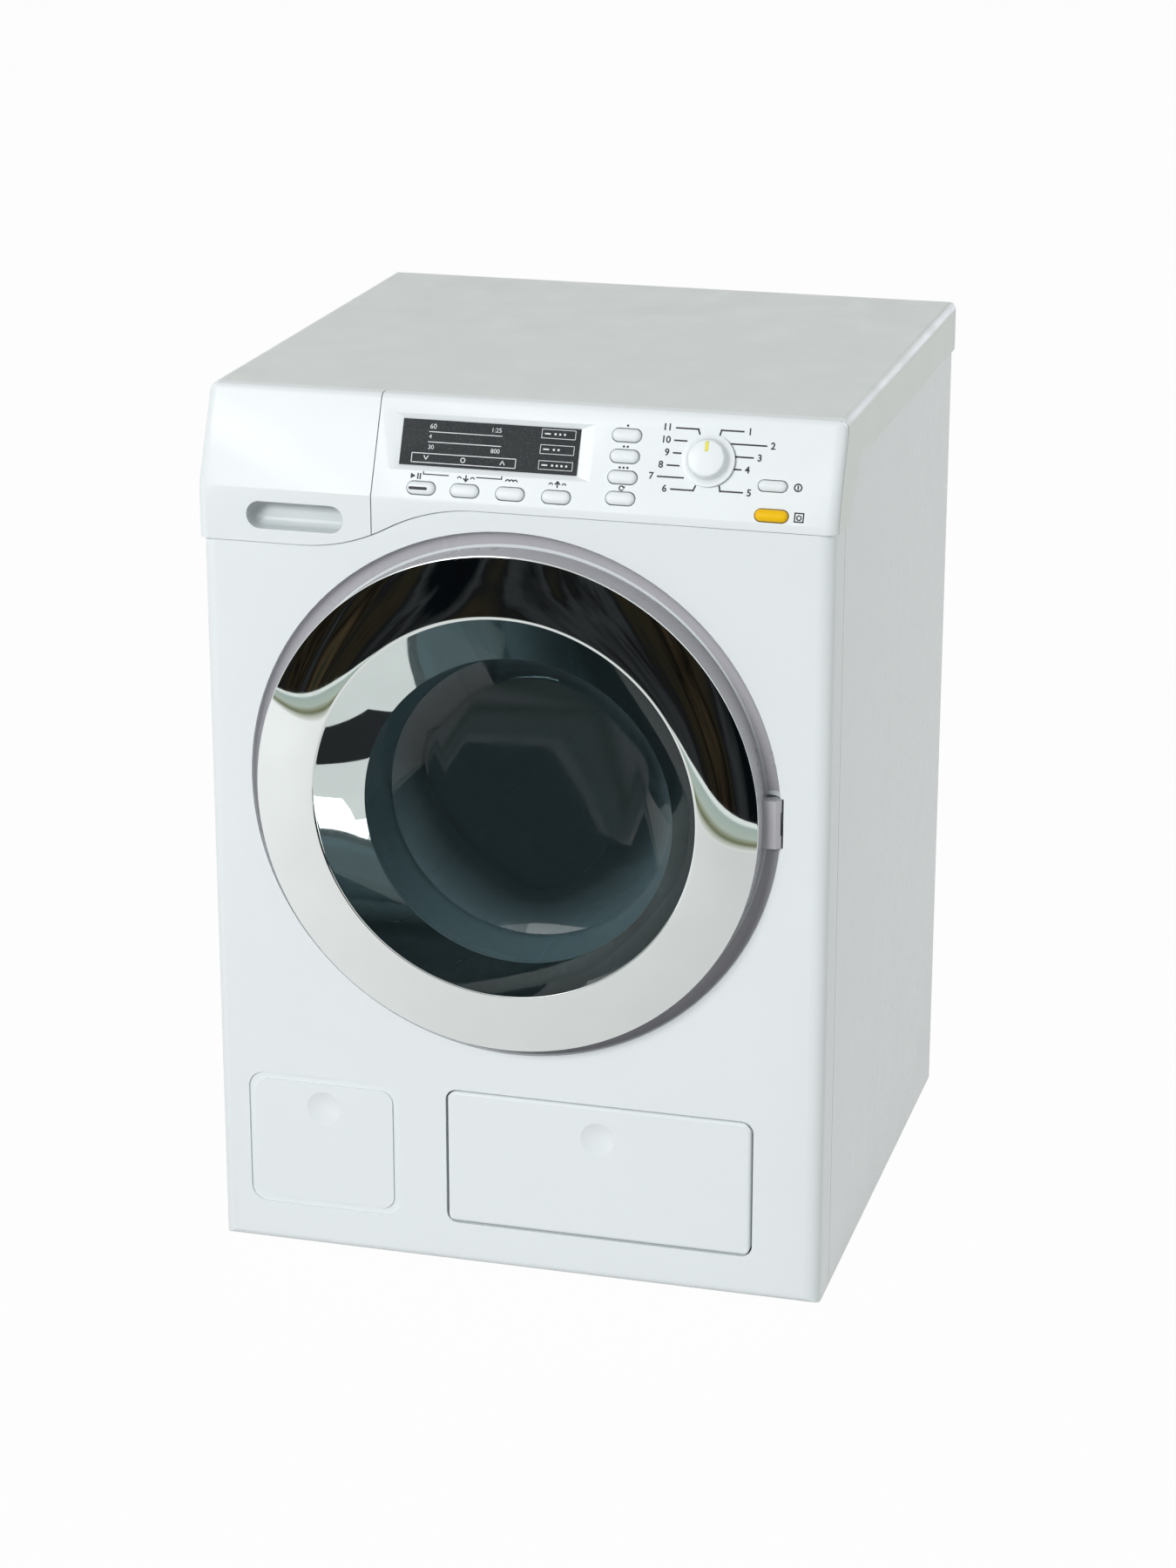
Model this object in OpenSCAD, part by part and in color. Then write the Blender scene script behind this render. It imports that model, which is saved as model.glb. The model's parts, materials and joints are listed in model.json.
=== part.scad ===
// Toy washing machine, front loader, as an assembly of separate pieces.
// x runs to the viewer's right, y to the back, z up. Millimetres.
// The modules are drawn with y = 0 on the front panel and z = 0 on the table;
// in_frame() then centres the whole machine over the origin.

/* [Casing] */
// Width over the side walls
body_w = 184; // [178:1:192]
// Depth from the front panel to the back edge of the lid
body_d = 181; // [176:1:195]
// Height over the lid, feet included
body_h = 262; // [258:0.5:270]
// Wall thickness of the casing mouldings
wall = 2.5; // [2:0.1:3]
// Radius of the casing's upright corners
corner_r = 4.5; // [3:0.5:6]
// Radius of the front panel's bottom edge
bottom_edge_r = 3; // [1.5:0.5:4]
// How far the lid and the fascia stand proud of the walls
lid_proud = 0.8; // [0.4:0.1:1.5]
// Radius of the lid's upper edges
lid_edge_r = 3; // [2:0.5:4]
// Depth of the front panel where it wraps round the sides
wrap_d = 15; // [12:1:18]
// Height of the feet under the casing
foot_h = 0.6; // [0.4:0.1:2]
// Radius of a foot
foot_r = 7; // [5:0.5:9]
// Height of the lid's skirt at the sides
skirt_h = 14.5; // [12:0.5:18]
// Gap at the seams between casing pieces
seam = 0.3; // [0.2:0.05:0.5]

/* [Fascia] */
// Backward tilt of the sloping control face, degrees
tilt = 24; // [18:1:28]
// Height of the sloping face, lid top to bend
slope_rise = 26.9; // [25:0.5:30]
// Seam under the detergent drawer, below the lid top
seam_low_drop = 42.9; // [41:0.5:46]
// Seam under the control face, below the lid top
seam_high_drop = 29.5; // [28.5:0.5:32]
// Seam's upward curve: left end
seam_curve_x0 = -62; // [-66:1:-58]
// Seam's upward curve: right end
seam_curve_x1 = -10; // [-14:1:-4]
// Joint between the drawer front and the control face
drawer_seam_x = -40.5; // [-44:0.5:-38]
// Wall thickness of the fascia
fascia_wall = 2.2; // [1.8:0.1:2.5]
// Depth of the fascia's edge behind its face
fascia_edge = 3.2; // [3:0.1:4]
// Radius of the fascia's upper edge
fascia_top_r = 2.5; // [1.5:0.5:3]
// Radius of the fascia's outer side edges
fascia_side_r = 3.5; // [2:0.5:4]

/* [Display] */
// Left end of the display foil
display_x = -33.6; // [-34:0.2:-32]
// Lower edge of the display foil, up the slope
display_s = 9.6; // [9.2:0.2:10]
// Length of the display foil
display_l = 51.8; // [48:0.2:52]
// Height of the display foil
display_h = 13.3; // [12:0.1:13.5]
// Depth of the display recess
display_deep = 1; // [0.6:0.1:1.2]
// Thickness of the display foil
foil_t = 0.3; // [0.2:0.05:0.4]

/* [Buttons] */
// Length of a white button
button_l = 8.2; // [7.4:0.2:8.6]
// Height of a white button
button_h = 3.6; // [3:0.1:3.8]
// Length of the yellow door button
door_button_l = 9.3; // [8.4:0.2:9.6]
// Height of the yellow door button
door_button_h = 3.4; // [3:0.1:3.5]
// How far a button stands out
button_proud = 1.2; // [0.9:0.1:1.6]
// Travel of a button
button_travel = 0.8; // [0.5:0.1:1]
// Play round a button in its hole
button_play = 0.25; // [0.2:0.05:0.3]

/* [Dial] */
// Distance from the right end of the fascia to the dial's centre
dial_side = 37.4; // [36:0.2:39]
// Dial centre up the slope
dial_s = 16.2; // [15:0.2:17]
// Radius of the dial at its foot
dial_r = 7.4; // [6.5:0.1:8]
// Radius of the dial's top face
dial_top_r = 5.2; // [4.5:0.1:6]
// Height of the dial
dial_h = 4.5; // [4:0.1:6]
// Radius of the dial's shaft
dial_shaft_r = 2; // [1.6:0.1:2.4]

/* [Door] */
// Distance from the door's recess to the side of the casing
door_side = 13.3; // [11:0.1:15]
// Distance from the door's recess to the seam above it
door_top_gap = 5.3; // [4.5:0.1:7]
// Distance from the door's recess to the tray front below it
door_low_gap = 13.8; // [12:0.1:16]
// How far the door's crest stands out of the front panel
door_proud = 10.4; // [9.5:0.1:12]
// Width of the chrome ring, from its outer edge to its crest
ring_w = 17.6; // [16:0.1:18.5]
// Fall of the chrome ring from its crest to its outer edge
ring_fall = 2.1; // [1.5:0.1:2.6]
// Width of the chrome funnel between crest and window
funnel_w = 10.4; // [9.5:0.1:12]
// How far the window sits below the door's centre
glass_drop = 5.6; // [4.5:0.1:6]
// Depth of the window's rim behind the front panel
glass_y = 4.8; // [4:0.1:5.2]
// Depth of the bowl behind its rim
bowl_deep = 20.2; // [18:0.2:22]
// How much the bowl's wall narrows towards the back
bowl_taper = 3.5; // [3:0.1:5]
// Thickness of the bowl
glass_t = 1.6; // [1.2:0.1:1.8]
// Width of the soft recess round the door
recess_gap = 4.7; // [4.2:0.1:6]
// Depth of the recess round the door
recess_deep = 3; // [2.6:0.1:3.4]
// Height of the hinge lug
lug_h = 14; // [12:0.5:18]
// Radius of the hinge pin
hinge_pin_r = 0.7; // [0.6:0.05:0.8]

/* [Drum] */
// How much wider the drum is than the door opening
drum_shoulder = 14.5; // [11:0.5:15.5]
// Room behind the drum for its gear and the motor
drive_room = 41.7; // [41:0.5:60]
// Wall thickness of drum and tub
drum_wall = 2; // [1.6:0.1:2.4]
// How much narrower the drum's mouth is than the door opening
mouth_lip = 4.5; // [2.5:0.5:6]
// Radial gap between drum and tub
tub_gap = 5.5; // [4:0.5:6]
// Radius of the drum's shaft
shaft_r = 4; // [3:0.5:5]
// Number of holes round the drum
hole_count = 12; // [6:1:16]
// Radius of a drum hole
drum_hole_r = 1.6; // [1.2:0.1:2]

/* [Drive] */
// Gear module, pitch diameter per tooth
gear_module = 1.25; // [1.2:0.01:1.3]
// Teeth on the drum's gear
gear_teeth = 72; // [64:1:74]
// Teeth on the motor's pinion
pinion_teeth = 12; // [12:1:14]
// Width of the drum's gear
gear_w = 4; // [3:0.5:5]
// Length of the motor's can
motor_l = 21; // [18:0.5:21.5]
// Width of the motor's can
motor_w = 20; // [18:0.5:21]
// Thickness of the motor's can
motor_h = 15.4; // [14:0.2:17]

/* [Drawers] */
// Travel of the detergent drawer
drawer_travel = 50; // [30:1:60]
// Length of the drawer's tray that stays in its guide when it is pulled out
drawer_hold = 38; // [25:1:50]
// Travel of the drain tray
tray_travel = 55; // [30:1:60]
// Left edge of the drain tray's front
tray_x = -20.5; // [-22:0.5:-19]
// Width of the drain tray's front
tray_w = 92; // [86:1:94]
// Lower edge of the drain tray's front
tray_z = 14.2; // [12:0.1:16]
// Length of the drain tray that stays in its sleeve when it is pulled out
tray_hold = 19; // [15:1:30]
// Thickness of the trays' walls
tray_wall = 1.6; // [1.4:0.1:2]

/* [Batteries] */
// Diameter of a battery cell
cell_d = 14.5; // [14.3:0.1:14.7]
// Length of a battery cell
cell_l = 50.5; // [49.5:0.5:50.5]

/* [Hidden] */
$fn = 96;

// Colours
white = [0.93, 0.95, 0.95];
grey_white = [0.84, 0.86, 0.86];
violet_grey = [0.71, 0.705, 0.74];
chrome = [0.80, 0.82, 0.84];
smoke = [0.25, 0.31, 0.36, 0.55];
dark = [0.18, 0.20, 0.22];
steel = [0.65, 0.66, 0.68];
yellow = [0.98, 0.74, 0.05];
green = [0.12, 0.40, 0.25];
black = [0.10, 0.10, 0.11];

// Fits
fit = 0.05; // shafts, pins and screws in their holes
touch = 0.3; // pieces that sit close together
slide_gap = 0.5; // drawers in their guides
eps = 0.01;

// Casing
half_w = body_w / 2;
lid_half_w = half_w + lid_proud;
base_z = foot_h;
housing_d = body_d - lid_proud;
inner_back = housing_d - wall;
skirt_z = body_h - skirt_h;
lid_in_z = body_h - wall;

// Fascia
bend_z = body_h - slope_rise;
seam_low = body_h - seam_low_drop;
seam_high = body_h - seam_high_drop;
slope_top_y = -lid_proud + slope_rise * tan(tilt);
seam_half_x = (seam_curve_x1 - seam_curve_x0) / 2;
seam_half_z = (seam_high - seam_low) / 2;
seam_r = (seam_half_x * seam_half_x + seam_half_z * seam_half_z) / (2 * seam_half_z);
seam_turn = asin(seam_half_x / seam_r);
side_slope_y0 = wrap_d + 2;
side_slope_y1 = side_slope_y0 + skirt_z - seam_high;

// Controls: centre of each button across the fascia and up the slope
dial_x = lid_half_w - dial_side;
start_at = [-26, 3.2];
water_in_at = [-13.3, 3.2];
wash_at = [-0.1, 3.2];
water_out_at = [13.2, 3.2];
column_x = 31.5;
column_s = 4.1;
column_pitch = 5.9;
power_at = [lid_half_w - 18.9, 10.4];
power_size = [8, 3];
door_button_at = [lid_half_w - 18.4, 2.2];
switch_n = -7.8; // top of the keypad sheet, measured along the face's normal
keypad_t = 0.8;
board_t = 1.6;
board_n = switch_n - keypad_t;
board_x0 = drawer_seam_x + fascia_wall + 1.2;
board_x1 = lid_half_w - fascia_wall - 2.5;
board_s0 = 0;
board_s1 = 26;
post_r = 2.1;
stem_n = -fascia_wall - 4;
dome_top = stem_n - button_travel - 0.1;
posts = [[board_x0 + 2.4, column_s - 0.9], [column_x - 9.2, column_s - 0.9], [column_x - 9.2, 24],
         [board_x1 - 2.6, 24], [board_x1 - 2.6, 4]];
small_screw_r = 0.9;
small_head_r = 1.8;

// Door
recess_r = half_w - door_side;
door_z = seam_high - door_top_gap - recess_r;
door_r = recess_r - recess_gap;
crest_r = door_r - ring_w;
glass_r = crest_r - funnel_w;
glass_z = door_z - glass_drop;
bowl_r = glass_r - bowl_taper;
cove_r = door_r + 1;
ring_front = -door_proud + ring_fall;
ring_t = 1.2;
frame_plate_t = 2;
frame_back = recess_deep - 1;
neck_t = 2;
flange_r = glass_r + glass_t + 3.4;
neck_r = flange_r + touch + neck_t;
opening_r = neck_r + 2.2;
flange_back = glass_y + glass_t;
clamp_t = 1.8;
clamp_count = 6;
clamp_places = [for (i = [0:clamp_count - 1]) let (a = 30 + 360 * i / clamp_count)
    [(neck_r - 1.3) * cos(a), glass_z + (neck_r - 1.3) * sin(a)]];
bowl_back_y = glass_y + bowl_deep;
hinge_x = door_r + 2.6;
hinge_y = 0.2;
knuckle_r = 2.2;
lug_flat = 0.95;
lug_play = 0.45;
eye_r = 1.5;
eye_h = 6.6;
cavity_h = eye_h + 0.4;
recess_back = recess_deep + wall;
bracket_t = 2;
hinge_screw_x = hinge_x + 8.3;
hinge_screw_z = [door_z - 7, door_z + 7];
hook_x = 8 - door_r;
hook_w = 10;
hook_t = 2;
hook_l = 9.5;

// Drum and tub
drum_r = opening_r + drum_shoulder;
mouth_r = opening_r - mouth_lip;
tub_r_in = drum_r + tub_gap;
tub_r = tub_r_in + drum_wall;
tub_front = recess_back + 8.5;
drum_front = tub_front + drum_wall + 2;
drum_back = inner_back - drive_room;
tub_back_in = drum_back + 6;
tub_back = tub_back_in + drum_wall;
bush_l = tub_back - drum_back - 1;
tub_mouth_r = opening_r + 1.5;
bush_r = shaft_r + 3;
gear_y = tub_back + 1.5;
gear_r = gear_module * gear_teeth / 2;
pinion_r = gear_module * pinion_teeth / 2;
gear_play = 0.22;
drive_distance = gear_r + pinion_r;
drive_angle = 225;
motor_x = drive_distance * cos(drive_angle);
motor_z = glass_z + drive_distance * sin(drive_angle);
bracket_y = gear_y + gear_w + 1.5;
post_ring = drive_distance + 14;
bracket_posts = [for (a = [-15, 15])
    [post_ring * cos(drive_angle + a), glass_z + post_ring * sin(drive_angle + a)]];
motor_y = bracket_y + bracket_t;
shaft_end = gear_y + gear_w + 4;
lifter_count = 3;
cradle_half_w = tub_r - 17.5;
cradle_top = glass_z - 40;
cradle_t = 3;
cradle_step = 11.7;
rib_count = 24;

// Drawers
drawer_l = drawer_travel + drawer_hold;
tray_l = tray_travel + tray_hold;
guide_x0 = -half_w + wall + 1;
guide_x1 = drawer_seam_x - 2;
guide_wall = 1.8;
guide_z = seam_low + 0.6;
guide_y0 = wall + 2;
drawer_x0 = guide_x0 + guide_wall + slide_gap;
drawer_x1 = guide_x1 - guide_wall - slide_gap;
drawer_z0 = guide_z + guide_wall + slide_gap;
drawer_z1 = lid_in_z - 10;
grip_x = (drawer_x0 + drawer_x1) / 2 + 2.2;
grip_l = 29;
grip_h = 8;
grip_z = seam_low + 8.2;
grip_deep = 6.5;
grip_round = 2.4;
chute_x = drawer_x1 - 15.2;
chute_y = 62;
chute_r = 5;
chute_side = abs(chute_x) - chute_r;
chute_end = glass_z + sqrt(tub_r * tub_r - chute_side * chute_side) - 1;
tray_gap = 0.55;
tray_side = 3.5;
tray_front_t = 2.5;
tray_front_y = -0.3;
tray_x1 = tray_x + tray_w;
tray_z1 = door_z - recess_r - door_low_gap;
tray_box_x0 = tray_x + tray_side;
tray_box_x1 = tray_x1 - tray_side;
tray_box_z0 = tray_z + 2.8;
tray_box_z1 = tray_z1 - 4.5;
sleeve_t = 1.6;
sleeve_back = tray_front_y + tray_front_t + tray_l + slide_gap + sleeve_t;
flap_x0 = 9.4 - half_w;
flap_x1 = tray_x - 15.1;
flap_z0 = tray_z - 0.8;
flap_z1 = tray_z1 - 0.5;
flap_r = 5;
groove_w = 2;
groove_deep = 0.6;
dimple_ball_r = 12.8;
dimple_deep = 1.1;
dimple_drop = 10.2;
spout_x = 20;
spout_y = 45;
spout_r = 3;
tub_bottom = glass_z - sqrt(tub_r_in * tub_r_in - spout_x * spout_x);
sleeve_y = tray_front_y + tray_front_t + 0.6;

// Batteries
box_wall = 1.6;
cell_play = 0.5;
bay_half_w = cell_l + 3;
bay_h = 2 * (cell_d + cell_play) + 1;
bay_z = 14;
bay_deep = cell_d + 1;
cover_margin = 0.5;

// Wiring
wire_r = 1.4;
wire_corner_x = half_w - wall - wire_r - 1.5;
wire_back_y = inner_back - 16;
wire_top_z = lid_in_z - wire_r - 1.5;
wire_path = [
    [bay_half_w + 3, wire_back_y, bay_z + bay_h / 2],
    [wire_corner_x, wire_back_y, bay_z + bay_h / 2],
    [wire_corner_x, wire_back_y, wire_top_z],
    [wire_corner_x, 44, wire_top_z],
    [wire_corner_x - 8, 24, wire_top_z - 6]];

// Fixings
case_screw_r = 1.3;
case_head_r = 2.6;
case_screw_l = 9;
corner_posts = [for (x = [-half_w + 9, half_w - 9], y = [wrap_d + 9, inner_back - 9]) [x, y]];
foot_places = [for (x = [-half_w + 20, half_w - 20], y = [wrap_d + 9, inner_back - 9]) [x, y]];
corner_post_r = 4;
corner_post_h = 22;
plate_t = 2.5;
plate_top = base_z + plate_t;
back_x = 50;
back_z0 = 66;
back_z1 = 196;
back_ledge = 6;
speaker_x = 0;
speaker_z = back_z0 + 24;
back_holes = [for (x = [-back_x + 3.5, back_x - 3.5], z = [back_z0 + 3.5, back_z1 - 3.5]) [x, z]];

// ---------------------------------------------------------------- helpers

module in_frame() {
    translate([0, -(body_d - door_proud) / 2, 0]) children();
}

// Rectangle with round corners: rl on the left, rr on the right
module rrect(x0, y0, x1, y1, rl, rr = -1) {
    r2 = rr < 0 ? rl : rr;
    translate([x0 + rl, y0]) square([x1 - x0 - rl - r2, y1 - y0]);
    translate([x0, y0 + rl]) square([rl, y1 - y0 - 2 * rl]);
    translate([x1 - r2, y0 + r2]) square([r2, y1 - y0 - 2 * r2]);
    for (y = [y0 + rl, y1 - rl]) translate([x0 + rl, y]) circle(rl);
    for (y = [y0 + r2, y1 - r2]) translate([x1 - r2, y]) circle(r2);
}

// An outline drawn in x and z, extruded from y0 to y1
module along_y(y0, y1) {
    translate([0, y1, 0]) rotate([90, 0, 0]) linear_extrude(y1 - y0) children();
}

// A profile drawn in y and z, extruded from x0 to x1
module along_x(x0, x1) {
    translate([x0, 0, 0]) rotate([90, 0, 90]) linear_extrude(x1 - x0) children();
}

// A profile drawn in radius and depth, turned about the y axis through [x, z]
module turned(x, z) {
    translate([x, 0, z]) rotate([-90, 0, 0]) rotate_extrude() children();
}

module disc_y(x, z, r, y0, y1) {
    translate([x, y0, z]) rotate([-90, 0, 0]) cylinder(h = y1 - y0, r = r);
}

module ring_y(x, z, r_out, r_in, y0, y1) {
    difference() {
        disc_y(x, z, r_out, y0, y1);
        disc_y(x, z, r_in, y0 - 1, y1 + 1);
    }
}

module block(x0, x1, y0, y1, z0, z1) {
    translate([x0, y0, z0]) cube([x1 - x0, y1 - y0, z1 - z0]);
}

// Local frame on the sloping face: x across, y up the slope, z along its normal
module on_slope() {
    translate([0, -lid_proud, bend_z]) rotate([90 - tilt, 0, 0]) children();
}

module pill(l, h) {
    translate([-l / 2 + h / 2, -h / 2]) square([l - h, h]);
    for (x = [-1, 1]) translate([x * (l - h) / 2, 0]) circle(h / 2, $fn = 48);
}

// Cross-head screw, head at z = 0..head_h, shank downwards
module screw(r, head_r, l) {
    head_h = head_r * 0.6;
    difference() {
        union() {
            cylinder(h = head_h, r = head_r, $fn = 32);
            translate([0, 0, -l]) cylinder(h = l + eps, r = r, $fn = 32);
        }
        for (a = [0, 90]) rotate(a)
            translate([-head_r * 0.6, -head_r * 0.13, head_h * 0.45]) cube([head_r * 1.2, head_r * 0.26, head_h]);
    }
}

// ---------------------------------------------------------------- outlines

// The seam between front panel and fascia, raised by up
function seam_points(up) = concat(
    [[-lid_half_w - 1, seam_low + up]],
    [for (i = [0:10]) let (a = seam_turn * i / 10)
        [seam_curve_x0 + seam_r * sin(a), seam_low + up + seam_r * (1 - cos(a))]],
    [for (i = [9:-1:0]) let (a = seam_turn * i / 10)
        [seam_curve_x1 - seam_r * sin(a), seam_high + up - seam_r * (1 - cos(a))]],
    [[lid_half_w + 1, seam_high + up]]);

module above_seam(up) {
    polygon(concat(seam_points(up), [[lid_half_w + 1, body_h + 5], [-lid_half_w - 1, body_h + 5]]));
}

module below_seam() {
    polygon(concat(seam_points(0), [[lid_half_w + 1, base_z - 1], [-lid_half_w - 1, base_z - 1]]));
}

// Side profile of the fascia, set in from its face by inset
module header_profile(inset, r) {
    y_band = -lid_proud + inset;
    y_face = -lid_proud + inset / cos(tilt);
    z_bend = bend_z - inset * (1 / cos(tilt) - 1) / tan(tilt);
    z_top = body_h - inset;
    y_top = y_face + (z_top - bend_z) * tan(tilt);
    cy = y_top + r * tan((90 - tilt) / 2);
    polygon(concat(
        [[y_band, seam_low - 5], [y_band, z_bend]],
        [for (i = [0:8]) let (a = 180 - tilt - (90 - tilt) * i / 8)
            [cy + r * cos(a), z_top - r + r * sin(a)]],
        [[body_d + 5, z_top], [body_d + 5, seam_low - 5]]));
}

// Solid of the fascia between x0 and x1, set in by inset. Its outer side
// (-1 left, 1 right) is rounded; the side at the drawer joint is square.
module header(x0, x1, inset, side) {
    a = x0 + inset;
    b = x1 - inset;
    q = max(fascia_side_r - inset, 0.4);
    left = side < 0 ? a : a - 2 * fascia_side_r;
    right = side > 0 ? b : b + 2 * fascia_side_r;
    intersection() {
        along_x(a, b) header_profile(inset, max(fascia_top_r - inset, 0.4));
        translate([0, 0, seam_low - 5]) linear_extrude(body_h) rrect(left, -lid_proud + inset, right, body_d, q);
        on_slope() along_y(-body_d, body_d) rrect(left, -body_h, right, -inset, q);
        along_y(-5, 60) rrect(left, seam_low - 30, right, body_h - inset, q);
    }
}

// Thin shell of the fascia between x0 and x1
module header_shell(x0, x1, side) {
    difference() {
        header(x0, x1, 0, side);
        header(x0, x1, fascia_wall, side);
        translate([0, fascia_edge, 0]) along_x(x0 - 1, x1 + 1) header_profile(0, 0.4);
    }
}

// ---------------------------------------------------------------- casing

module panel_solid(inset) {
    intersection() {
        linear_extrude(body_h)
            rrect(-half_w + inset, inset, half_w - inset, 60, max(corner_r - inset, 0.5));
        along_x(-half_w - 1, half_w + 1)
            rrect(inset, base_z + inset, 60, body_h + 20, max(bottom_edge_r - inset, 0.5));
    }
}

function cove_points(y_off, r_off) = [for (i = [0:8]) let (a = 90 * i / 8)
    [cove_r + r_off + (recess_r - cove_r) * cos(a), y_off + recess_deep * sin(a)]];

module front_panel() in_frame() color(white) {
    difference() {
        union() {
            intersection() {
                difference() {
                    panel_solid(0);
                    panel_solid(wall);
                }
                block(-body_w, body_w, 0, wrap_d, 0, body_h);
                along_y(-1, wrap_d + 1) below_seam();
            }
            intersection() {
                turned(0, door_z)
                    polygon(concat([[recess_r + 3.5, wall], [recess_r + 3.5, wall - 0.5], [recess_r + 0.2, 0.5]],
                        [[0, 0.5], [0, recess_back], [cove_r + 1.5, recess_back]]));
                translate([0, 0, base_z]) linear_extrude(body_h) square([body_w - 1, 60], center = true);
            }
            for (z = hinge_screw_z) disc_y(hinge_screw_x, z, small_screw_r + 1.7, wall - 0.5, recess_back);
            for (x = [-1, 1]) disc_y(x * (half_w - 10), tray_z1 + 11.5, 3.4, wall - 0.5, wrap_d - 4);
        }
        turned(0, door_z) polygon(concat([[0, -1], [recess_r, -1]], cove_points(0, 0), [[0, recess_deep]]));
        disc_y(0, glass_z, opening_r, -1, recess_back + 2);
        // window of the hinge lug
        translate([0, 0, door_z - lug_h / 2 - touch]) linear_extrude(lug_h + 2 * touch)
            polygon([[hinge_x - 2.9, -1], [hinge_x + knuckle_r + lug_play, -1],
                [hinge_x + knuckle_r + lug_play, recess_back + 1], [hinge_x - 2.9, recess_back + 1]]);
        // slot of the door's hook
        block(hook_x - hook_t / 2 - 1.4, hook_x + hook_t / 2 + touch, -1, recess_back + 1,
            door_z - hook_w / 2 - 0.5, door_z + hook_w / 2 + 0.5);
        // screw holes of the hinge bracket
        for (z = hinge_screw_z) disc_y(hinge_screw_x, z, small_screw_r + fit, 1, recess_back + 1);
        // drain tray
        along_y(-1, wall + 1)
            rrect(tray_x - tray_gap, tray_z - tray_gap, tray_x1 + tray_gap, tray_z1 + tray_gap, 3.6);
        // blind flap: a shallow groove and a finger dimple
        difference() {
            along_y(-1, groove_deep) rrect(flap_x0, flap_z0, flap_x1, flap_z1, flap_r);
            along_y(-2, 1) rrect(flap_x0 + groove_w, flap_z0 + groove_w,
                flap_x1 - groove_w, flap_z1 - groove_w, flap_r - groove_w / 2);
        }
        finger_dimple((flap_x0 + flap_x1) / 2, 0);
    }
}

// Shallow round dimple under the top edge of a flap whose face is at y
module finger_dimple(x, y) {
    translate([x, y + dimple_deep - dimple_ball_r, tray_z1 - dimple_drop]) sphere(dimple_ball_r);
}

// Side profile of the rear housing, below the lid's skirt
module housing_profile() {
    polygon([[wrap_d + seam, base_z], [housing_d + 5, base_z], [housing_d + 5, skirt_z - seam],
        [side_slope_y1, skirt_z - seam], [side_slope_y0, seam_high - seam], [wrap_d + seam, seam_high - seam]]);
}

module rear_housing() in_frame() color(white) {
    difference() {
        union() {
            intersection() {
                difference() {
                    linear_extrude(body_h) rrect(-half_w, 0, half_w, housing_d, corner_r);
                    translate([0, 0, -1]) linear_extrude(body_h + 2)
                        rrect(-half_w + wall, -5, half_w - wall, inner_back, corner_r - 2);
                }
                along_x(-half_w - 1, half_w + 1) housing_profile();
            }
            // ledge behind the service cover
            block(-back_x - back_ledge, back_x + back_ledge, inner_back - 2, inner_back + eps,
                back_z0 - back_ledge, back_z1 + back_ledge);
            for (p = corner_posts) {
                side = sign(p[0]);
                translate([p[0], p[1], plate_top + touch]) cylinder(h = corner_post_h, r = corner_post_r);
                block(min(p[0], side * (half_w - wall + eps)), max(p[0], side * (half_w - wall + eps)),
                    p[1] - 1, p[1] + 1, plate_top + touch, plate_top + touch + corner_post_h);
            }
        }
        block(-back_x + back_ledge, back_x - back_ledge, inner_back - 3, housing_d + 1,
            back_z0 + back_ledge, back_z1 - back_ledge);
        block(-back_x - touch, back_x + touch, inner_back, housing_d + 1, back_z0 - touch, back_z1 + touch);
        block(-bay_half_w - cover_margin - touch, bay_half_w + cover_margin + touch, inner_back - 1, housing_d + 1,
            bay_z - cover_margin - touch, bay_z + bay_h + cover_margin + touch);
        for (p = corner_posts) translate([p[0], p[1], 0]) cylinder(h = 3 + case_screw_l, r = case_screw_r + fit);
        for (p = back_holes) disc_y(p[0], p[1], case_screw_r + fit, inner_back - 5, housing_d + 1);
    }
}

// Side profile of the lid, set in by inset
module lid_profile(inset) {
    r = max(lid_edge_r - inset, 0.4);
    y1 = body_d - inset;
    z1 = body_h - inset;
    polygon(concat([[0, z1]],
        [for (i = [0:8]) let (a = 90 - 90 * i / 8) [y1 - r + r * cos(a), z1 - r + r * sin(a)]],
        [[y1, skirt_z - (inset > 0 ? 40 : 0)]],
        inset > 0 ? [[0, skirt_z - 40]] :
        [[side_slope_y1, skirt_z], [side_slope_y0, seam_high], [0, seam_high]]));
}

module lid_solid(inset) {
    intersection() {
        along_x(-lid_half_w + inset, lid_half_w - inset) lid_profile(inset);
        linear_extrude(body_h + 1)
            rrect(-lid_half_w + inset, -20, lid_half_w - inset, body_d - inset, max(corner_r - inset, 0.5));
        along_y(-1, body_d + 1)
            rrect(-lid_half_w + inset, 100, lid_half_w - inset, body_h - inset, max(lid_edge_r - inset, 0.4));
    }
}

module top_cover() in_frame() color(grey_white) {
    intersection() {
        difference() {
            lid_solid(0);
            lid_solid(wall);
        }
        translate([0, fascia_edge + seam, 0]) along_x(-lid_half_w - 1, lid_half_w + 1) header_profile(0, 0.4);
    }
}

module base_plate() in_frame() color(grey_white) {
    difference() {
        translate([0, 0, base_z]) linear_extrude(plate_t)
            rrect(-half_w + wall + touch, wrap_d + touch, half_w - wall - touch, inner_back - touch, 2);
        for (p = corner_posts) translate([p[0], p[1], -1]) cylinder(h = 10, r = case_screw_r + 0.2);
        for (p = corner_posts) translate([p[0], p[1], base_z - 1]) cylinder(h = 2.6, r = case_head_r + 0.3);
        for (p = foot_places) translate([p[0], p[1], -1]) cylinder(h = 10, r = foot_r / 3 + fit);
    }
}

module feet() in_frame() color(dark) {
    for (p = foot_places) translate([p[0], p[1], 0]) {
        cylinder(h = foot_h, r = foot_r);
        cylinder(h = plate_top, r = foot_r / 3);
    }
}

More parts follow.
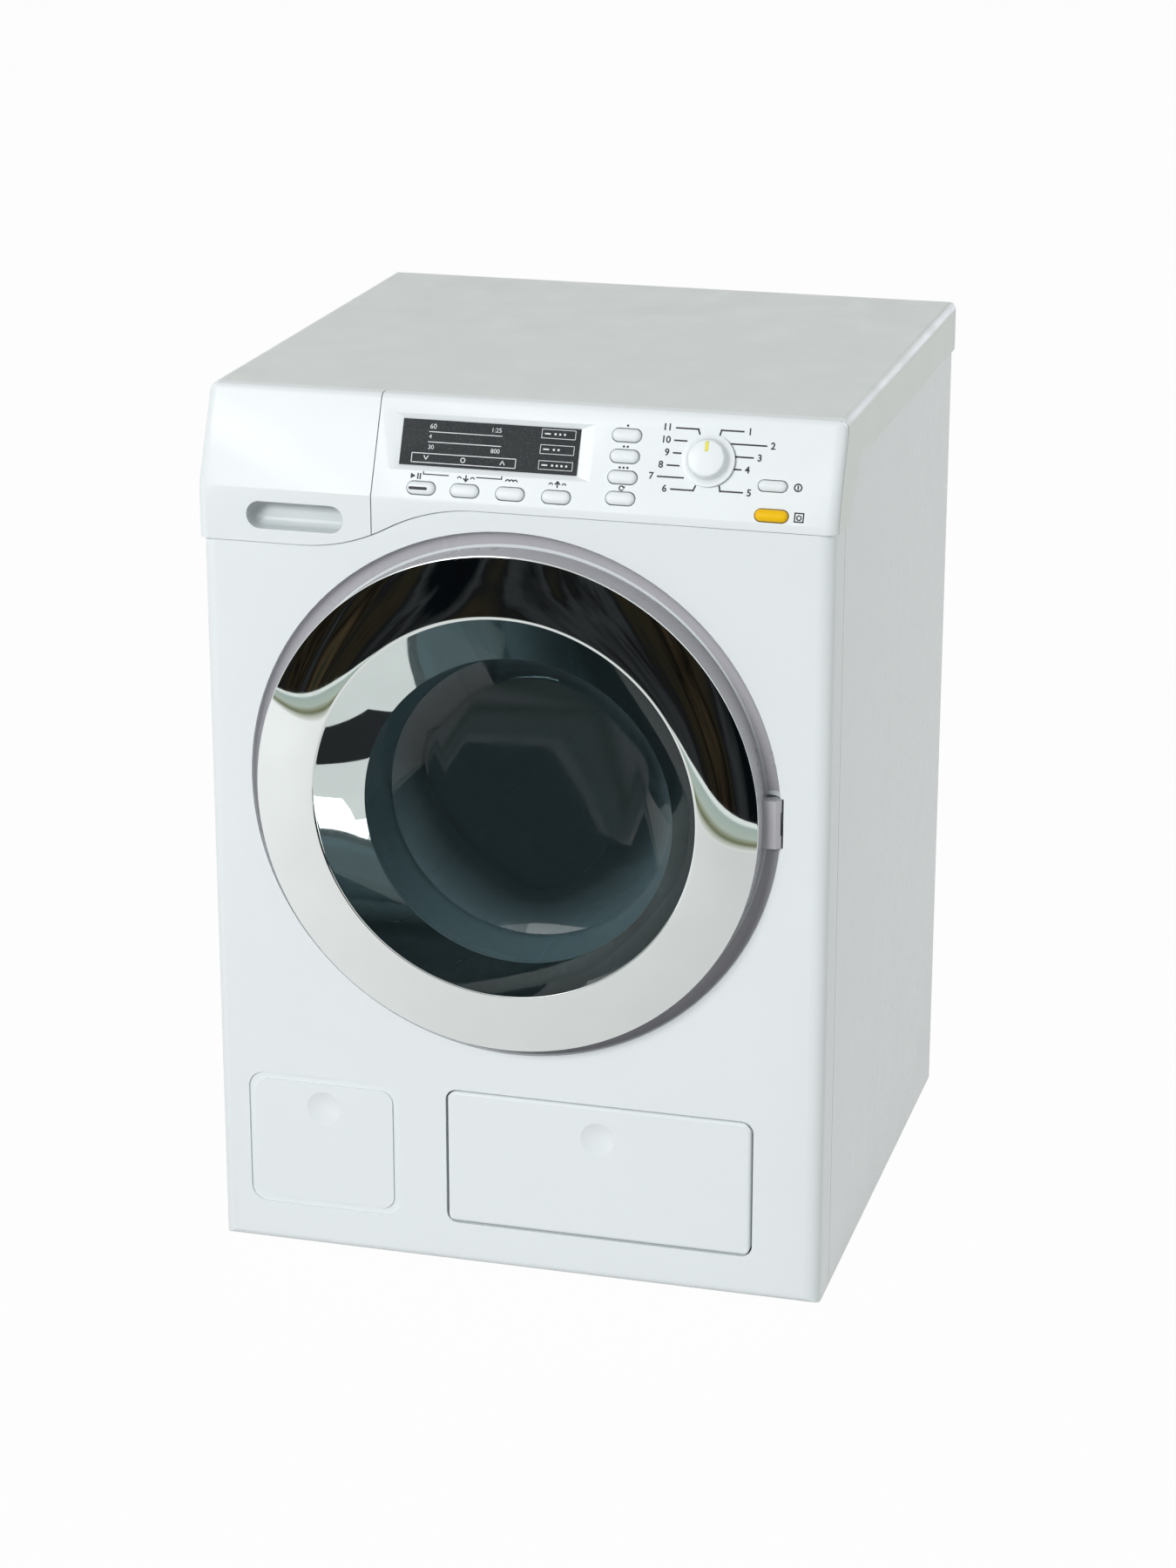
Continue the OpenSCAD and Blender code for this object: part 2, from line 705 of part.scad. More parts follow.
module back_cover() in_frame() color(grey_white) {
    difference() {
        along_y(inner_back + touch, housing_d) rrect(-back_x, back_z0, back_x, back_z1, 2);
        for (p = back_holes) {
            disc_y(p[0], p[1], case_screw_r + 0.2, inner_back - 1, housing_d + 1);
            disc_y(p[0], p[1], case_head_r + 0.3, housing_d - 1.6, housing_d + 1);
        }
        for (i = [0:6]) block(-22, 22, inner_back - 1, housing_d + 1, back_z1 - 22 - 6 * i, back_z1 - 20 - 6 * i);
        for (i = [-2:2], j = [-2:2]) if (i * i + j * j < 6)
            disc_y(speaker_x + 5 * i, speaker_z + 5 * j, 0.9, inner_back - 1, housing_d + 1);
    }
}

module case_screws() in_frame() color(steel) {
    head_h = case_head_r * 0.6;
    for (p = corner_posts) translate([p[0], p[1], base_z + 1.6]) rotate([180, 0, 0])
        screw(case_screw_r, case_head_r, case_screw_l);
    for (p = back_holes) translate([p[0], housing_d - 1.6, p[1]]) rotate([-90, 0, 0])
        screw(case_screw_r, case_head_r, 2.6);
}

// ---------------------------------------------------------------- fascia and controls

module fascia() in_frame() color(white) {
    x0 = drawer_seam_x + seam / 2;
    lip = [2.5, 1.3, 4, 1.5]; // slope of the recess's left, top, right and bottom walls
    difference() {
        union() {
            intersection() {
                header_shell(x0, lid_half_w, 1);
                along_y(-5, 60) above_seam(seam);
            }
            // wall behind the display recess
            on_slope() translate([0, 0, -display_deep - 1.6])
                linear_extrude(1.6) rrect(display_x - 2, display_s - 2, display_x + display_l + 2,
                    display_s + display_h + 2, 1);
            for (p = posts) on_slope() translate([p[0], p[1], board_n])
                cylinder(h = -board_n - fascia_wall / 2, r = post_r, $fn = 48);
        }
        on_slope() {
            hull() {
                translate([display_x, display_s, -display_deep]) cube([display_l, display_h, eps]);
                translate([display_x - lip[0], display_s - lip[3], 0])
                    cube([display_l + lip[0] + lip[2], display_h + lip[1] + lip[3], 1]);
            }
            for (b = all_buttons) translate([b[0], b[1], -fascia_wall - 1]) linear_extrude(10)
                pill(b[2] + 2 * button_play, b[3] + 2 * button_play);
            translate([dial_x, dial_s, -fascia_wall - 1]) cylinder(h = 10, r = dial_shaft_r + 1.3);
            for (p = posts) translate([p[0], p[1], board_n - 1])
                cylinder(h = 5.6, r = small_screw_r + fit, $fn = 32);
        }
    }
}

all_buttons = [
    [start_at[0], start_at[1], button_l, button_h],
    [water_in_at[0], water_in_at[1], button_l, button_h],
    [wash_at[0], wash_at[1], button_l, button_h],
    [water_out_at[0], water_out_at[1], button_l, button_h],
    for (i = [3:-1:0]) [column_x, column_s + i * column_pitch, button_l, button_h],
    [power_at[0], power_at[1], power_size[0], power_size[1]],
    [door_button_at[0], door_button_at[1], door_button_l, door_button_h]
];

module display_window() in_frame() color(dark)
    on_slope() translate([display_x + 0.1, display_s + 0.1, -display_deep + eps])
        cube([display_l - 0.2, display_h - 0.2, foil_t]);

module control_board() in_frame() color(green) {
    on_slope() difference() {
        translate([board_x0, board_s0, board_n - board_t]) cube([board_x1 - board_x0, board_s1 - board_s0, board_t]);
        for (p = posts) translate([p[0], p[1], board_n - 5]) cylinder(h = 10, r = small_screw_r + 0.15, $fn = 32);
    }
}

// Silicone sheet with one dome under each button
module button_keypad() in_frame() color(grey_white) {
    on_slope() difference() {
        union() {
            translate([board_x0 + 5, board_s0 + 0.6, board_n])
                linear_extrude(keypad_t) square([column_x + 6 - board_x0 - 5, 6.4]);
            translate([column_x - 6, board_s0 + 0.6, board_n]) linear_extrude(keypad_t) square([12, 24]);
            translate([door_button_at[0] - 7, board_s0 + 0.6, board_n]) linear_extrude(keypad_t) square([13.5, 12.4]);
            for (b = all_buttons) translate([b[0], b[1], board_n]) cylinder(h = dome_top - board_n, r = 1.3, $fn = 48);
        }
        translate([posts[1][0], posts[1][1], board_n - 1]) cylinder(h = 10, r = post_r + touch, $fn = 48);
    }
}

module board_screws() in_frame() color(steel) {
    on_slope() for (p = posts) translate([p[0], p[1], board_n - board_t]) rotate([180, 0, 0])
        screw(small_screw_r, small_head_r, 5);
}

// A push button: round-edged cap, two ears behind the fascia and a stem
module button(i) {
    b = all_buttons[i];
    ear_t = 0.8;
    ear_n = -fascia_wall - 0.15;
    edge = 0.6;
    on_slope() translate([b[0], b[1], 0]) {
        translate([0, 0, ear_n - ear_t]) linear_extrude(button_proud - edge - ear_n + ear_t) pill(b[2], b[3]);
        for (k = [1:4]) let (a = 90 * (k - 1) / 4, c = 90 * k / 4)
            translate([0, 0, button_proud - edge + edge * sin(a) - eps])
                linear_extrude(edge * (sin(c) - sin(a)) + eps)
                    pill(b[2] - 2 * edge * (1 - cos((a + c) / 2)), b[3] - 2 * edge * (1 - cos((a + c) / 2)));
        translate([-b[2] / 2 - 1.1, -b[3] / 4, ear_n - ear_t]) cube([b[2] + 2.2, b[3] / 2, ear_t]);
        translate([0, 0, stem_n]) cylinder(h = ear_n - stem_n, r = 1.1, $fn = 32);
    }
}

module start_button() in_frame() color(white) difference() {
    button(0);
    on_slope() translate([start_at[0] - 2.9, start_at[1] - 0.9, button_proud - 0.4]) cube([5.4, 0.8, 1]);
}
module water_in_button() in_frame() color(white) button(1);
module wash_button() in_frame() color(white) button(2);
module water_out_button() in_frame() color(white) button(3);
module option_button_1() in_frame() color(white) button(4);
module option_button_2() in_frame() color(white) button(5);
module option_button_3() in_frame() color(white) button(6);
module spin_button() in_frame() color(white) button(7);
module power_button() in_frame() color(white) button(8);
module door_button() in_frame() color(yellow) button(9);

// Programme dial: a flared skirt under a drum with a soft edge
module dial() in_frame() color(white) {
    on_slope() translate([dial_x, dial_s, 0]) difference() {
        rotate_extrude() polygon(concat(
            [[0, touch], [dial_r, touch], [dial_r, touch + 0.9]],
            [for (i = [1:6]) let (a = 90 * i / 6)
                [dial_r - (dial_r - dial_top_r - 0.5) * sin(a), touch + 0.9 + 1.1 * (1 - cos(a))]],
            [for (i = [0:4]) let (a = 90 * i / 4)
                [dial_top_r - 0.6 + 0.6 * cos(a), dial_h - 0.6 + 0.6 * sin(a)]],
            [[0, dial_h]]));
        translate([0, 0, -1]) cylinder(h = dial_h - 0.4, r = dial_shaft_r + fit);
        translate([-0.45, dial_top_r * 0.35, dial_h - 0.5]) cube([0.9, dial_top_r * 0.55, 1]);
    }
}

module dial_pointer() in_frame() color(yellow)
    on_slope() translate([dial_x - 0.4, dial_s + dial_top_r * 0.35 + 0.05, dial_h - 0.5 + eps])
        cube([0.8, dial_top_r * 0.55 - 0.1, 0.55]);

module dial_shaft() in_frame() color(steel)
    on_slope() translate([dial_x, dial_s, board_n + 0.6])
        cylinder(h = dial_h - 1.6 - board_n - 0.6, r = dial_shaft_r);

module dial_switch() in_frame() color(black) {
    on_slope() translate([dial_x, dial_s, board_n]) difference() {
        union() {
            translate([-6, -6, 0]) cube([12, 12, 3.4]);
            cylinder(h = 4.4, r = dial_shaft_r + 1.6);
        }
        translate([0, 0, 0.5]) cylinder(h = 10, r = dial_shaft_r + fit);
    }
}

// ---------------------------------------------------------------- detergent drawer

module drawer_front() in_frame() color(white) {
    x1 = drawer_seam_x - seam / 2;
    difference() {
        union() {
            intersection() {
                union() {
                    header_shell(-lid_half_w, x1, -1);
                    // pocket behind the grip
                    along_y(0, grip_deep + 1.6 - lid_proud)
                        translate([grip_x, grip_z]) pill(grip_l + 3.2, grip_h + 3.2);
                }
                along_y(-5, 60) above_seam(seam);
            }
            // plate that carries the tray
            intersection() {
                block(drawer_x0 + 2, drawer_x1 - 2, fascia_wall - lid_proud - 0.2, guide_y0, drawer_z0, bend_z - 1);
                along_y(-5, 60) above_seam(seam);
            }
        }
        grip_cut();
    }
}

// The grip pocket: straight sides and a round bottom edge
module grip_cut() {
    r = grip_h / 2;
    y1 = grip_deep - lid_proud;
    end_x = (grip_l - grip_h) / 2;
    for (x = [-end_x, end_x]) turned(grip_x + x, grip_z) intersection() {
        rrect(-r, -10, r, y1, grip_round);
        translate([0, -10]) square([r, 30]);
    }
    translate([0, 0, grip_z]) along_x(grip_x - end_x, grip_x + end_x)
        rrect(-10, -r, y1, r, grip_round);
}

module drawer_tray() in_frame() color(grey_white) {
    t = tray_wall;
    y0 = guide_y0;
    y1 = y0 + drawer_l;
    third = (drawer_x1 - drawer_x0) / 3;
    difference() {
        intersection() {
            block(drawer_x0, drawer_x1, y0, y1, drawer_z0, drawer_z1);
            along_x(drawer_x0 - 1, drawer_x1 + 1) header_profile(fascia_wall + touch, 0.4);
        }
        block(drawer_x0 + t, drawer_x0 + 1.4 * third, y0 + t + grip_deep, y1 - t, drawer_z0 + t, drawer_z1 + 1);
        block(drawer_x0 + 1.4 * third + t, drawer_x1 - t, y0 + t + grip_deep, y1 - t, drawer_z0 + t, drawer_z1 + 1);
        // room for the pocket behind the grip
        block(grip_x - grip_l / 2 - 2, grip_x + grip_l / 2 + 2, y0 - 1, grip_deep + 1.6 - lid_proud + touch,
            grip_z - grip_h / 2 - 2, grip_z + grip_h / 2 + 2);
        disc_z(chute_x, chute_y, 2, drawer_z0 - 1, drawer_z0 + t + 1);
    }
}

module disc_z(x, y, r, z0, z1) {
    translate([x, y, z0]) cylinder(h = z1 - z0, r = r);
}

module drawer_guide() in_frame() color(grey_white) {
    y1 = guide_y0 + drawer_l + 3;
    difference() {
        union() {
            difference() {
                block(guide_x0, guide_x1, guide_y0, y1, guide_z, lid_in_z - eps);
                block(guide_x0 + guide_wall, guide_x1 - guide_wall, guide_y0 - 1, y1 - guide_wall,
                    guide_z + guide_wall, lid_in_z + 1);
            }
            disc_z(chute_x, chute_y, chute_r + guide_wall, chute_end, guide_z + guide_wall);
        }
        disc_z(chute_x, chute_y, chute_r, chute_end - 1, guide_z + guide_wall + 1);
        // room for the fascia's lip and the side of the lid
        block(guide_x0 - 1, guide_x1 + 1, guide_y0 - 1, slope_top_y + fascia_edge + 1, bend_z - 8, lid_in_z + 1);
    }
}

// ---------------------------------------------------------------- drain tray

module tray_front() in_frame() color(white) {
    difference() {
        intersection() {
            along_y(tray_front_y, tray_front_y + tray_front_t) rrect(tray_x, tray_z, tray_x1, tray_z1, 3);
            linear_extrude(body_h) rrect(tray_x, tray_front_y, tray_x1, tray_front_y + 10, 1.2);
            along_x(tray_x - 1, tray_x1 + 1) rrect(tray_front_y, tray_z, tray_front_y + 10, tray_z1, 1.2);
        }
        finger_dimple(tray_x + tray_w / 2, tray_front_y);
    }
}

module tray_box() in_frame() color(grey_white) {
    y0 = tray_front_y + tray_front_t;
    difference() {
        block(tray_box_x0, tray_box_x1, y0, y0 + tray_l, tray_box_z0, tray_box_z1);
        block(tray_box_x0 + tray_wall, tray_box_x1 - tray_wall, y0 + tray_wall, y0 + tray_l - tray_wall,
            tray_box_z0 + tray_wall, tray_box_z1 + 1);
    }
}

module tray_sleeve() in_frame() color(grey_white) {
    g = slide_gap;
    t = sleeve_t;
    y1 = sleeve_back;
    difference() {
        union() {
            block(tray_box_x0 - g - t, tray_box_x1 + g + t, sleeve_y, y1, tray_box_z0 - g - t, tray_box_z1 + g + t);
            for (x = [tray_box_x0 + 6, tray_box_x1 - 6])
                block(x - 1.5, x + 1.5, wrap_d + 3, y1, plate_top, tray_box_z0 - g - t + eps);
            disc_z(spout_x, spout_y, spout_r + 3, tray_box_z1, tray_box_z1 + g + t + 2);
        }
        block(tray_box_x0 - g, tray_box_x1 + g, sleeve_y - 1, y1 - t, tray_box_z0 - g, tray_box_z1 + g);
        disc_z(spout_x, spout_y, spout_r + 1.5, tray_box_z1, tray_box_z1 + 20);
    }
}

// ---------------------------------------------------------------- door

// White carrier of the door: back plate, rim, neck round the window and hinge lug
module door_frame() in_frame() color(violet_grey) {
    rim_front = ring_front + ring_t + 0.1;
    difference() {
        union() {
            ring_y(0, door_z, door_r - 0.15, door_r - 2.2, rim_front, frame_back);
            disc_y(0, door_z, door_r - 1, frame_back - frame_plate_t, frame_back);
            disc_y(0, glass_z, neck_r, frame_back - frame_plate_t, flange_back);
            // hinge lug: flat in front, a small chamfer, and round about the pin behind
            translate([0, 0, door_z - lug_h / 2]) linear_extrude(lug_h) polygon(concat(
                [[door_r - 1.8, hinge_y - knuckle_r], [hinge_x + lug_flat, hinge_y - knuckle_r],
                    [hinge_x + knuckle_r, hinge_y - lug_flat]],
                [for (a = [0:15:135]) [hinge_x + knuckle_r * cos(a), hinge_y + knuckle_r * sin(a)]],
                [[door_r - 1.8, hinge_y + 1.2]]));
        }
        disc_y(0, glass_z, flange_r + touch, glass_y - 1.3, flange_back + 1);
        // room for the chrome funnel
        hull() {
            disc_y(0, door_z, crest_r + 2.6, frame_back - frame_plate_t - 2.5, frame_back - frame_plate_t - 2.4);
            disc_y(0, glass_z, glass_r + 2.5, glass_y + 0.4, glass_y + 0.5);
        }
        // slot in which the bracket's eye turns
        translate([hinge_x, hinge_y, door_z - cavity_h / 2]) {
            cylinder(h = cavity_h, r = eye_r + 0.2, $fn = 48);
            for (a = [0:15:90]) rotate(-a) translate([-eye_r - 0.2, 0, 0]) cube([eye_r + 1.3, 8, cavity_h]);
        }
        translate([hinge_x, hinge_y, door_z - lug_h / 2 - 1]) cylinder(h = lug_h + 2, r = hinge_pin_r + fit, $fn = 48);
        for (p = clamp_places) disc_y(p[0], p[1], small_screw_r + fit, flange_back - 3.4, flange_back + 1);
        block(hook_x - hook_t / 2 - fit, hook_x + hook_t / 2 + fit, frame_back - 1.2, frame_back + 1,
            door_z - hook_w / 2 - fit, door_z + hook_w / 2 + fit);
    }
}

// Chrome trim: a slightly crowned ring and a funnel down to the window
module door_ring() in_frame() color(chrome) {
    t = ring_t;
    y0 = -door_proud;
    difference() {
        union() {
            turned(0, door_z) polygon(concat(
                [for (i = [0:12]) let (k = i / 12)
                    [crest_r + ring_w * k, y0 + ring_fall * k * k]],
                [[door_r, ring_front + t], [crest_r - 1.5, y0 + t + 0.4], [crest_r - 1.5, y0 + 0.5]]));
            hull() {
                disc_y(0, door_z, crest_r + 0.05, y0 + 0.02, y0 + 0.1);
                disc_y(0, glass_z, glass_r + t, glass_y - 0.1, glass_y);
            }
        }
        hull() {
            disc_y(0, door_z + 0.35, crest_r + 0.64 - 0.6, y0 - 0.9, y0 - 0.8);
            disc_y(0, glass_z, glass_r, glass_y, glass_y + 0.1);
        }
    }
}

// Back face of the bowl: a pick shape, wide above and narrow below
module bowl_nose(r_add, y0, y1) {
    hull() {
        disc_y(0, glass_z + 4.1, bowl_r - 12.5 + r_add, y0, y1);
        for (x = [-1, 1]) disc_y(x * (bowl_r - 22.5), glass_z + 6.6, 14 + r_add, y0, y1);
        disc_y(0, glass_z - bowl_r + 24.6, 12 + r_add, y0, y1);
    }
}

module door_glass() in_frame() color(smoke) {
    wall_end = bowl_back_y - 5.5;
    t = glass_t;
    difference() {
        union() {
            disc_y(0, glass_z, flange_r, glass_y, flange_back);
            translate([0, glass_y, glass_z]) rotate([-90, 0, 0])
                cylinder(h = wall_end - glass_y, r1 = glass_r + t, r2 = bowl_r + t);
            hull() {
                disc_y(0, glass_z, bowl_r + t, wall_end - eps, wall_end);
                bowl_nose(t, bowl_back_y + t - 0.1, bowl_back_y + t);
            }
        }
        translate([0, glass_y - eps, glass_z]) rotate([-90, 0, 0])
            cylinder(h = wall_end - glass_y + eps, r1 = glass_r, r2 = bowl_r);
        hull() {
            disc_y(0, glass_z, bowl_r, wall_end - 0.1, wall_end);
            bowl_nose(0, bowl_back_y - 0.1, bowl_back_y);
        }
    }
}

module glass_clamp() in_frame() color(white) {
    difference() {
        ring_y(0, glass_z, neck_r, glass_r + glass_t + 0.4, flange_back, flange_back + clamp_t);
        for (p = clamp_places) disc_y(p[0], p[1], small_screw_r + 0.15, flange_back - 1, flange_back + 5);
    }
}

module clamp_screws() in_frame() color(steel) {
    for (p = clamp_places) translate([p[0], flange_back + clamp_t, p[1]]) rotate([-90, 0, 0])
        screw(small_screw_r, 1.2, 4.4);
}

module hinge_pin() in_frame() color(steel)
    translate([hinge_x, hinge_y, door_z - lug_h / 2 + 0.4]) cylinder(h = lug_h - 0.8, r = hinge_pin_r, $fn = 48);

module hinge_bracket() in_frame() color(white) {
    y1 = recess_back + bracket_t;
    difference() {
        union() {
            block(hinge_x - 5, hinge_screw_x + 3.2, recess_back, y1, hinge_screw_z[0] - 3.5, hinge_screw_z[1] + 3.5);
            translate([hinge_x, hinge_y, door_z - eye_h / 2]) {
                cylinder(h = eye_h, r = eye_r, $fn = 48);
                translate([-eye_r, 0, 0]) cube([eye_r + 0.9, recess_back - hinge_y + eps, eye_h]);
            }
        }
        translate([hinge_x, hinge_y, 0]) cylinder(h = body_h, r = hinge_pin_r + fit, $fn = 48);
        for (z = hinge_screw_z) disc_y(hinge_screw_x, z, small_screw_r + 0.15, recess_back - 1, y1 + 1);
    }
}

module hinge_screws() in_frame() color(steel)
    for (z = hinge_screw_z) translate([hinge_screw_x, recess_back + bracket_t, z]) rotate([-90, 0, 0])
        screw(small_screw_r, small_head_r, bracket_t + 3.5);

module door_hook() in_frame() color(white)
    block(hook_x - hook_t / 2, hook_x + hook_t / 2, frame_back - 1.2, frame_back + hook_l,
        door_z - hook_w / 2, door_z + hook_w / 2);

// Spring clip that holds the hook between two leaves
module catch_clip() in_frame() color(steel) {
    y0 = recess_back;
    left = hook_x - hook_t / 2 - 1;
    right = hook_x + hook_t / 2 + 0.3;
    z0 = door_z - hook_w / 2 + 1;
    z1 = door_z + hook_w / 2 - 1;
    difference() {
        block(left - 3.6, right + 3.6, y0, y0 + 0.8, z0, z1);
        block(left, right, y0 - 1, y0 + 2, z0 - 1, z1 + 1);
    }
    block(left - 0.8, left, y0, y0 + 6.5, z0, z1);
    block(right, right + 0.8, y0, y0 + 6.5, z0, z1);
}

// ---------------------------------------------------------------- tub, drum and drive

module tub() in_frame() color(grey_white) {
    difference() {
        union() {
            ring_y(0, glass_z, tub_r, tub_r_in, tub_front, tub_back);
            ring_y(0, glass_z, tub_r - 1, tub_mouth_r, tub_front, tub_front + drum_wall);
            ring_y(0, glass_z, tub_mouth_r + drum_wall, tub_mouth_r, recess_back + touch, tub_front + 1);
            disc_y(0, glass_z, tub_r - 1, tub_back_in, tub_back);
            disc_y(0, glass_z, bush_r + 3, tub_back - bush_l, tub_back);
            disc_z(spout_x, spout_y, spout_r + 1.5, tray_box_z1 + slide_gap + sleeve_t + 1, tub_bottom + 1);
            for (p = bracket_posts) disc_y(p[0], p[1], 3.2, tub_back - 1, bracket_y);
        }
        disc_y(0, glass_z, bush_r + 0.02, tub_back - bush_l - 1, tub_back + 1);
        disc_z(spout_x, spout_y, spout_r, 40, tub_bottom + 6);
        disc_z(chute_x, chute_y, chute_r + guide_wall + touch, glass_z, glass_z + tub_r);
        for (p = bracket_posts) disc_y(p[0], p[1], small_screw_r + fit, tub_back + 0.5, bracket_y + 1);
    }
}
module tub_cradle() in_frame() color(grey_white) {
    for (y = [sleeve_back + cradle_step, tub_back - 18]) difference() {
        block(-cradle_half_w, cradle_half_w, y, y + cradle_t, plate_top, cradle_top);
        disc_y(0, glass_z, tub_r + 0.2, y - 1, y + cradle_t + 1);
    }
}

module drum() in_frame() color(dark) {
    y0 = drum_front;
    y1 = drum_back;
    r_in = drum_r - drum_wall;
    hub_r = shaft_r + 5;
    difference() {
        union() {
            ring_y(0, glass_z, drum_r, r_in, y0, y1);
            ring_y(0, glass_z, drum_r - 1, mouth_r, y0, y0 + drum_wall);
            disc_y(0, glass_z, drum_r - 1, y1 - drum_wall, y1);
            disc_y(0, glass_z, hub_r, y1 - 9, y1);
            for (i = [0:rib_count - 1]) translate([0, 0, glass_z]) rotate([0, i * 360 / rib_count, 0])
                block(hub_r - 1, r_in + 0.5, y1 - drum_wall - 1.2, y1 - drum_wall + eps, -0.8, 0.8);
            for (i = [0:lifter_count - 1]) translate([0, 0, glass_z]) rotate([0, 90 + i * 360 / lifter_count, 0])
                translate([r_in + 0.6, 0, 0]) along_y(y0 + 8, y1 - 4)
                    polygon([[0, -7], [-10, -3.2], [-12, -1.4], [-12, 1.4], [-10, 3.2], [0, 7]]);
        }
        disc_y(0, glass_z, shaft_r + 0.03, y1 - 7, y1 + 1);
        for (i = [0:hole_count - 1], k = [0:3]) translate([0, y0 + 20 + 25 * k, glass_z])
            rotate([0, 15 + (i + (k % 2) / 2) * 360 / hole_count, 0]) translate([r_in - 2, 0, 0]) rotate([0, 90, 0])
                if (abs(((15 + (i + (k % 2) / 2) * 360 / hole_count - 90 + 720) % 120) - 60) < 50)
                    cylinder(h = 8, r = drum_hole_r, $fn = 24);
    }
}

module drum_shaft() in_frame() color(steel)
    disc_y(0, glass_z, shaft_r, drum_back - 6.8, shaft_end);

module shaft_bush() in_frame() color([0.72, 0.55, 0.28])
    ring_y(0, glass_z, bush_r, shaft_r + fit, tub_back - bush_l, tub_back + 0.8);

// Involute gear outline: pitch radius r, teeth z, tip at r + tip, root at r - root
function involute(rb, a) = [rb * (cos(a) + a * PI / 180 * sin(a)), rb * (sin(a) - a * PI / 180 * cos(a))];
function turn(p, a) = [p[0] * cos(a) - p[1] * sin(a), p[0] * sin(a) + p[1] * cos(a)];
function gear_points(teeth, m, tip, root, play) =
    let (r = m * teeth / 2, rb = r * cos(20), ro = r + tip, ri = r - root,
        a_tip = sqrt(ro * ro / (rb * rb) - 1) * 180 / PI,
        a_low = ri > rb ? sqrt(ri * ri / (rb * rb) - 1) * 180 / PI : 0,
        inv20 = tan(20) * 180 / PI - 20,
        half = 90 / teeth - play / r * 90 / PI + inv20)
    [for (i = [0:teeth - 1]) let (mid = 360 * i / teeth)
        each concat(
            [turn([ri, 0], mid - half)],
            [for (k = [0:3]) turn(involute(rb, a_low + (a_tip - a_low) * k / 3), mid - half)],
            [for (k = [3:-1:0]) let (q = involute(rb, a_low + (a_tip - a_low) * k / 3))
                turn([q[0], -q[1]], mid + half)],
            [turn([ri, 0], mid + half)])];

module drum_gear() in_frame() color([0.90, 0.90, 0.86]) {
    translate([0, gear_y + gear_w, glass_z]) rotate([90, 0, 0]) difference() {
        union() {
            linear_extrude(gear_w) rotate(drive_angle)
                polygon(gear_points(gear_teeth, gear_module, 0.7 * gear_module, 1.15 * gear_module, gear_play));
            translate([0, 0, -1.5]) cylinder(h = gear_w + 1.6, r = shaft_r + 4);
        }
        translate([0, 0, -5]) cylinder(h = 20, r = shaft_r + 0.03);
        for (i = [0:5]) rotate(30 + 60 * i) translate([gear_r * 0.55, 0, -1]) cylinder(h = 20, r = gear_r * 0.17);
    }
}

module shaft_clip() in_frame() color(steel)
    ring_y(0, glass_z, shaft_r + 2.5, shaft_r + 0.03, gear_y + gear_w + 1.6, gear_y + gear_w + 2.4);

module motor_pinion() in_frame() color([0.85, 0.70, 0.35]) {
    translate([motor_x, gear_y + gear_w, motor_z]) rotate([90, 0, 0]) union() {
        linear_extrude(gear_w) rotate(drive_angle + 180 + 180 / pinion_teeth)
            polygon(gear_points(pinion_teeth, gear_module, gear_module, 0.9 * gear_module, gear_play));
        translate([0, 0, -6]) cylinder(h = 8, r = 1);
    }
}

module motor_bracket() in_frame() color(steel) {
    difference() {
        union() {
            along_y(bracket_y, bracket_y + bracket_t) hull() {
                for (p = bracket_posts) translate(p) circle(4.2, $fn = 32);
                translate([motor_x, motor_z]) circle(11, $fn = 32);
            }
        }
        disc_y(motor_x, motor_z, 3.2, bracket_y - 1, bracket_y + 5);
        for (p = bracket_posts) disc_y(p[0], p[1], small_screw_r + fit, bracket_y - 1, bracket_y + 5);
    }
}

module motor() in_frame() color(steel) {
    translate([motor_x, motor_y, motor_z]) rotate([-90, drive_angle - 90, 0]) difference() {
        union() {
            intersection() {
                cylinder(h = motor_l, r = motor_w / 2);
                translate([-motor_w, -motor_h / 2, 0]) cube([2 * motor_w, motor_h, motor_l]);
            }
            translate([0, 0, -1.6]) cylinder(h = 1.7, r = 3);
        }
        translate([0, 0, -2]) cylinder(h = 8, r = 1 + fit, $fn = 48);
    }
}

// ---------------------------------------------------------------- batteries, sound, wiring

module battery_box() in_frame() color(grey_white) {
    y1 = inner_back;
    y0 = y1 - bay_deep - box_wall;
    difference() {
        block(-bay_half_w - 3, bay_half_w + 3, y0, y1, bay_z - 3, bay_z + bay_h + 3);
        block(-bay_half_w, bay_half_w, y0 + box_wall, y1 + 1, bay_z, bay_z + cell_d + cell_play);
        block(-bay_half_w, bay_half_w, y0 + box_wall, y1 + 1, bay_z + bay_h - cell_d - cell_play, bay_z + bay_h);
    }
    block(-bay_half_w - 3, bay_half_w + 3, y0, y0 + 3, plate_top, bay_z - 3 + eps);
}

// One coil spring and one plate at the ends of each row of cells
module battery_contacts() in_frame() color(steel) {
    ym = inner_back - bay_deep / 2;
    for (k = [0, 1]) {
        z = bay_z + (k == 0 ? (cell_d + cell_play) / 2 : bay_h - (cell_d + cell_play) / 2);
        side = k == 0 ? 1 : -1;
        translate([side * bay_half_w, ym, z]) rotate([0, -side * 90, 0]) {
            translate([-5, -5, 0]) cube([10, 10, 0.5]);
            for (i = [0:3]) translate([0, 0, 0.8 + 0.85 * i])
                rotate_extrude() translate([4 - 0.6 * i, 0]) circle(0.5, $fn = 16);
        }
        translate([-side * bay_half_w, ym, z]) rotate([0, side * 90, 0]) translate([-5, -5, 0]) cube([10, 10, 0.5]);
    }
}

